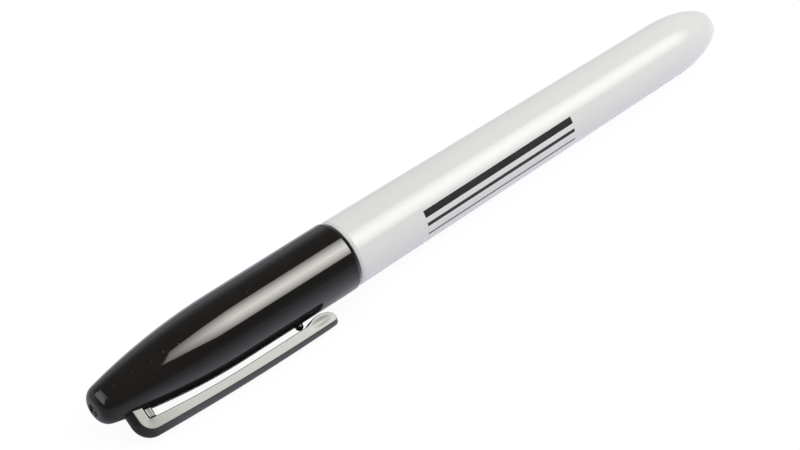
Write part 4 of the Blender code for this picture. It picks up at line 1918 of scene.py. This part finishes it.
    def wrap_world(self) -> None:
        """Light from all round: white to the camera, a pale sweep under a dim ceiling in reflections."""
        world = bpy.data.worlds.new("studio")
        bpy.context.scene.world = world
        world.use_nodes = True
        graph = NodeGraph(world.node_tree)
        _, ahead, rise = graph.split(graph.add("ShaderNodeTexCoord").outputs["Generated"])
        front, back = (self.sweep(graph, rise, stops) for stops in (self.front_sweep, self.back_sweep))
        behind = graph.ramp(ahead, 0.0, self.back_start)
        colours = (graph.mix(behind, front, back), (*self.ambient, 1.0), WHITE)
        studio, around, white = (graph.out("ShaderNodeBackground", {"Color": colour}) for colour in colours)
        rays = graph.add("ShaderNodeLightPath").outputs
        lit = graph.choose(rays["Is Glossy Ray"], around, studio)
        plain = graph.math("MAXIMUM", rays["Is Camera Ray"], rays["Is Transmission Ray"])
        graph.add("ShaderNodeOutputWorld", {"Surface": graph.choose(plain, lit, white)})

    def sweep(self, graph: NodeGraph, rise: Socket, stops: Sequence[Point]) -> Socket:
        """Brightness of the surroundings from the floor up.

        Args:
            graph: The world's graph.
            rise: Sine of the elevation.
            stops: Sine of the elevation and brightness at each stop.

        Returns:
            The colour's socket, slightly cooler low down.
        """
        node = graph.add("ShaderNodeValToRGB", {"Fac": graph.ramp(rise, -1.0, 1.0)})
        ramp = node.color_ramp
        ramp.elements[0].position = (stops[0][0] + 1) / 2
        ramp.elements[1].position = (stops[-1][0] + 1) / 2
        for sine, _ in stops[1:-1]:
            ramp.elements.new((sine + 1) / 2)
        for stop, (sine, bright) in zip(ramp.elements, stops):
            tint = self.low_tint if sine < 0 else self.high_tint
            stop.color = (*[bright * part for part in tint], 1.0)
        return node.outputs["Color"]

    def light(self, aim: Vector) -> None:
        """Hang the softboxes and the lamp that casts the shadow.

        Args:
            aim: What they face.
        """
        self.key.hang(aim)
        self.fill.hang(aim)
        data = bpy.data.lights.new("soft_lamp", "AREA")
        data.shape = "DISK"
        data.size = self.lamp_size
        data.energy = self.lamp_power
        lamp = link("soft_lamp", data)
        away = self.key.direction()
        facing = away.to_track_quat("Z", "Y").to_matrix().to_4x4()
        lamp.matrix_world = Matrix.Translation(aim + away * self.key.distance) @ facing
        lamp.visible_glossy = False


def clear_scene() -> None:
    """Remove whatever the scene starts with."""
    for item in list(bpy.data.objects):
        bpy.data.objects.remove(item, do_unlink=True)


def main() -> None:
    """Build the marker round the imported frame, with its studio."""
    logging.basicConfig(level=logging.INFO, format="%(name)s: %(message)s")
    clear_scene()
    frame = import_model()
    at = MarkerFrame.read(frame)
    turned = TurnedTree()

    cap = Cap(at, turned)
    cap.build()
    PocketClip(at, turned, cap).build()
    Barrel(at, turned).build()
    WritingParts(at, turned, StrandTree()).build()

    studio = Studio()
    studio.shoot()
    studio.lay_floor()
    studio.wrap_world()
    studio.light(at.world(0.0, at.span("cap_shell")[1] / 2))
    bpy.context.scene.view_settings.view_transform = "Standard"


if __name__ == "__main__":
    main()
